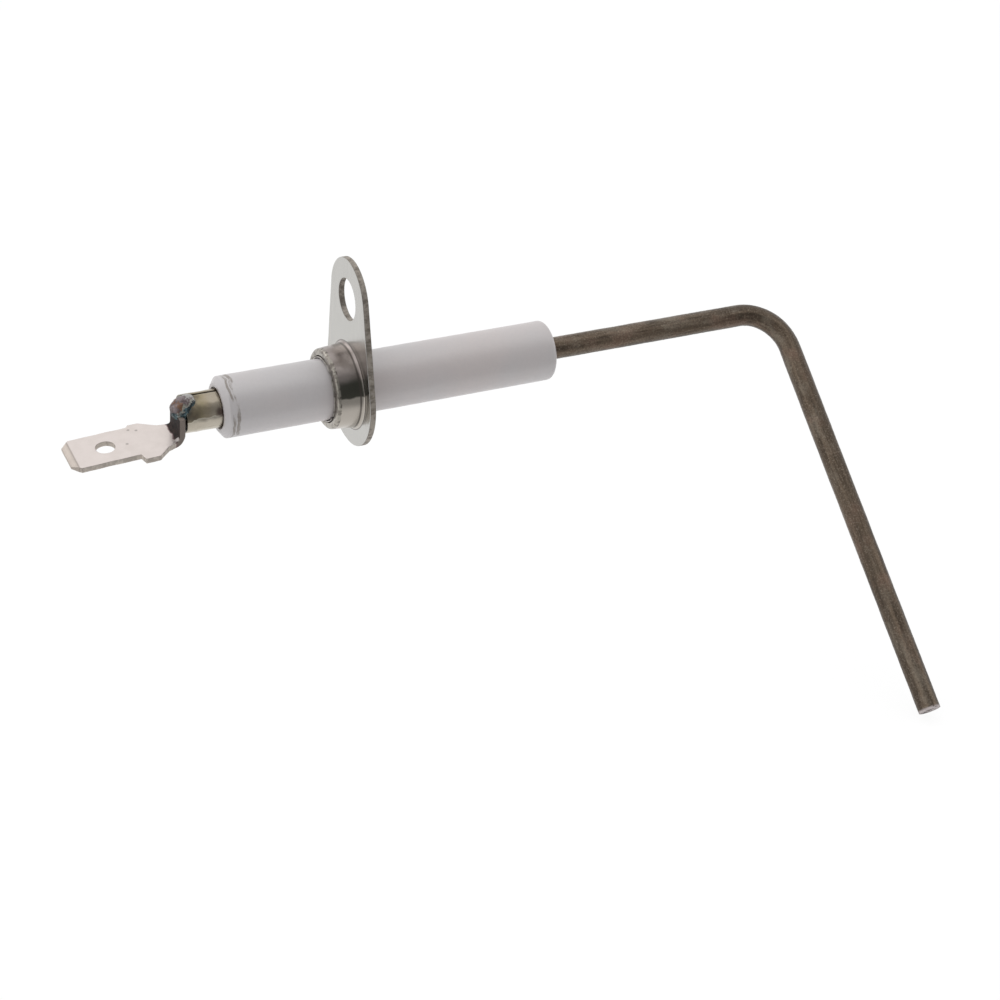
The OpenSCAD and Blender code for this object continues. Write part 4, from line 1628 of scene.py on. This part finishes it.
@dataclass
class Studio:
    """Camera, soft boxes, surround and floor."""

    eye: Place = (-99.173, -245.674, 120.490)
    view: Place = (0.39074, 0.79715, -0.46029)
    up: Place = (0.18446, 0.42209, 0.88759)
    lens: float = 81.19
    sensor: float = 36.0
    lift: float = 0.08
    floor_half: float = 3000.0
    floor_gap: float = 0.2
    floor_colour: Colour = (0.86, 0.86, 0.86)
    floor_white: float = 1.03
    floor_cover: float = 0.9
    floor_front: float = 0.30
    floor_gain: Band = (0.50, 0.20)
    floor_rise: Tuple[Band, Band] = ((-0.09, -0.03), (-0.03, 0.03))
    room: float = 0.9
    dark_side: float = 0.33
    dark_way: Place = (0.0, -0.95, 0.30)
    dark_edge: Band = (0.48, 0.95)

    def camera(self) -> None:
        """Puts the camera at the eye, looking along view with its top towards up."""
        view, up = unit(np.array(self.view)), np.array(self.up)
        up = unit(up - view * (up @ view))
        right = np.cross(view, up)
        data = bpy.data.cameras.new("camera")
        data.lens = self.lens
        data.sensor_width = self.sensor
        data.clip_start, data.clip_end = 0.01, 20.0
        camera = bpy.data.objects.new("camera", data)
        bpy.context.scene.collection.objects.link(camera)
        camera.matrix_world = placed(right, up, -view, np.array(self.eye) + up * self.lift)
        bpy.context.scene.camera = camera

    def lamps(self) -> None:
        """Square soft boxes that face the object's middle."""
        aim = 0.5 * (np.array(CAD_BOX[0]) + np.array(CAD_BOX[1])) / MM
        for lamp in Lamp:
            place, size, power, mirrored = lamp.value
            data = bpy.data.lights.new("soft_box_" + lamp.name.lower(), "AREA")
            data.energy, data.size = power, size * MM
            made = bpy.data.objects.new(data.name, data)
            bpy.context.scene.collection.objects.link(made)
            back = unit(np.array(place) - aim)
            right = unit(np.cross((0.0, 0.0, 1.0), back))
            made.matrix_world = placed(right, np.cross(back, right), back, np.array(place))
            made.visible_glossy = mirrored
            LOG.info("lamp %s: %.2f W", data.name, power)

    def surround(self) -> None:
        """A white room that is dark on the camera's side, as a studio is behind its camera."""
        world = bpy.data.worlds.new("surround")
        bpy.context.scene.world = world
        p = Paint(world, "Generated")
        ahead = Num(p, p.node("ShaderNodeVectorMath", {"operation": "DOT_PRODUCT"},
                              {0: p.place, 1: self.dark_way}).outputs["Value"])
        level = (1.0 - ahead.step(*self.dark_edge) * (1.0 - self.dark_side)) * self.room
        seen = Num(p, p.node("ShaderNodeLightPath", {}, {}).outputs["Is Camera Ray"])
        level = level * (1.0 - seen) + seen
        sky = p.node("ShaderNodeBackground", {}, {"Color": (1.0, 1.0, 1.0), "Strength": level})
        p.node("ShaderNodeOutputWorld", {}, {"Surface": sky.outputs[0]})

    def floor(self) -> None:
        """A floor that is white to the eye, keeps the object's shadow, and glows into the scene.

        What mirrors see of it is bright behind the object and greyer in front of it.
        """
        z = float(CAD_BOX[0][2]) / MM - self.floor_gap
        h = self.floor_half
        shell = Shell()
        shell.add(np.array([[[-h, -h, z], [h, -h, z]], [[-h, h, z], [h, h, z]]]))
        floor = shell.build("floor")
        if floor.data.polygons[0].normal.z < 0.0:
            floor.data.flip_normals()
        p = Paint(bpy.data.materials.new("floor_white"))
        rays = p.node("ShaderNodeLightPath", {}, {})
        eye = Num(p, rays.outputs["Is Camera Ray"])
        mirror = Num(p, rays.outputs["Is Glossy Ray"]).larger(
            Num(p, rays.outputs["Is Transmission Ray"]))
        _, y, _ = p.axes()
        first, second = (y.step(*rise) * gain for rise, gain in zip(self.floor_rise, self.floor_gain))
        strength = eye * self.floor_white + (1.0 - eye) * (first + second + self.floor_front)
        matt = p.node("ShaderNodeBsdfDiffuse", {}, {"Color": self.floor_colour})
        glow = p.node("ShaderNodeEmission", {}, {"Color": (1.0, 1.0, 1.0), "Strength": strength})
        both = p.node("ShaderNodeMixShader", {}, {0: eye.larger(mirror) * self.floor_cover,
                                                  1: matt.outputs[0], 2: glow.outputs[0]})
        p.node("ShaderNodeOutputMaterial", {}, {"Surface": both.outputs[0]})
        floor.data.materials.append(p.owner)

    def build(self) -> None:
        """Sets the stage and the plain view transform."""
        self.camera()
        self.lamps()
        self.surround()
        self.floor()
        bpy.context.scene.view_settings.view_transform = "Standard"


def main() -> None:
    """Builds the stage and every sub-assembly."""
    logging.basicConfig(level=logging.INFO, format="%(name)s: %(message)s")
    Studio().build()
    for assembly in (Insulator(), ElectrodeRod(), Terminal(), Bracket()):
        assembly.build()


if __name__ == "__main__":
    main()
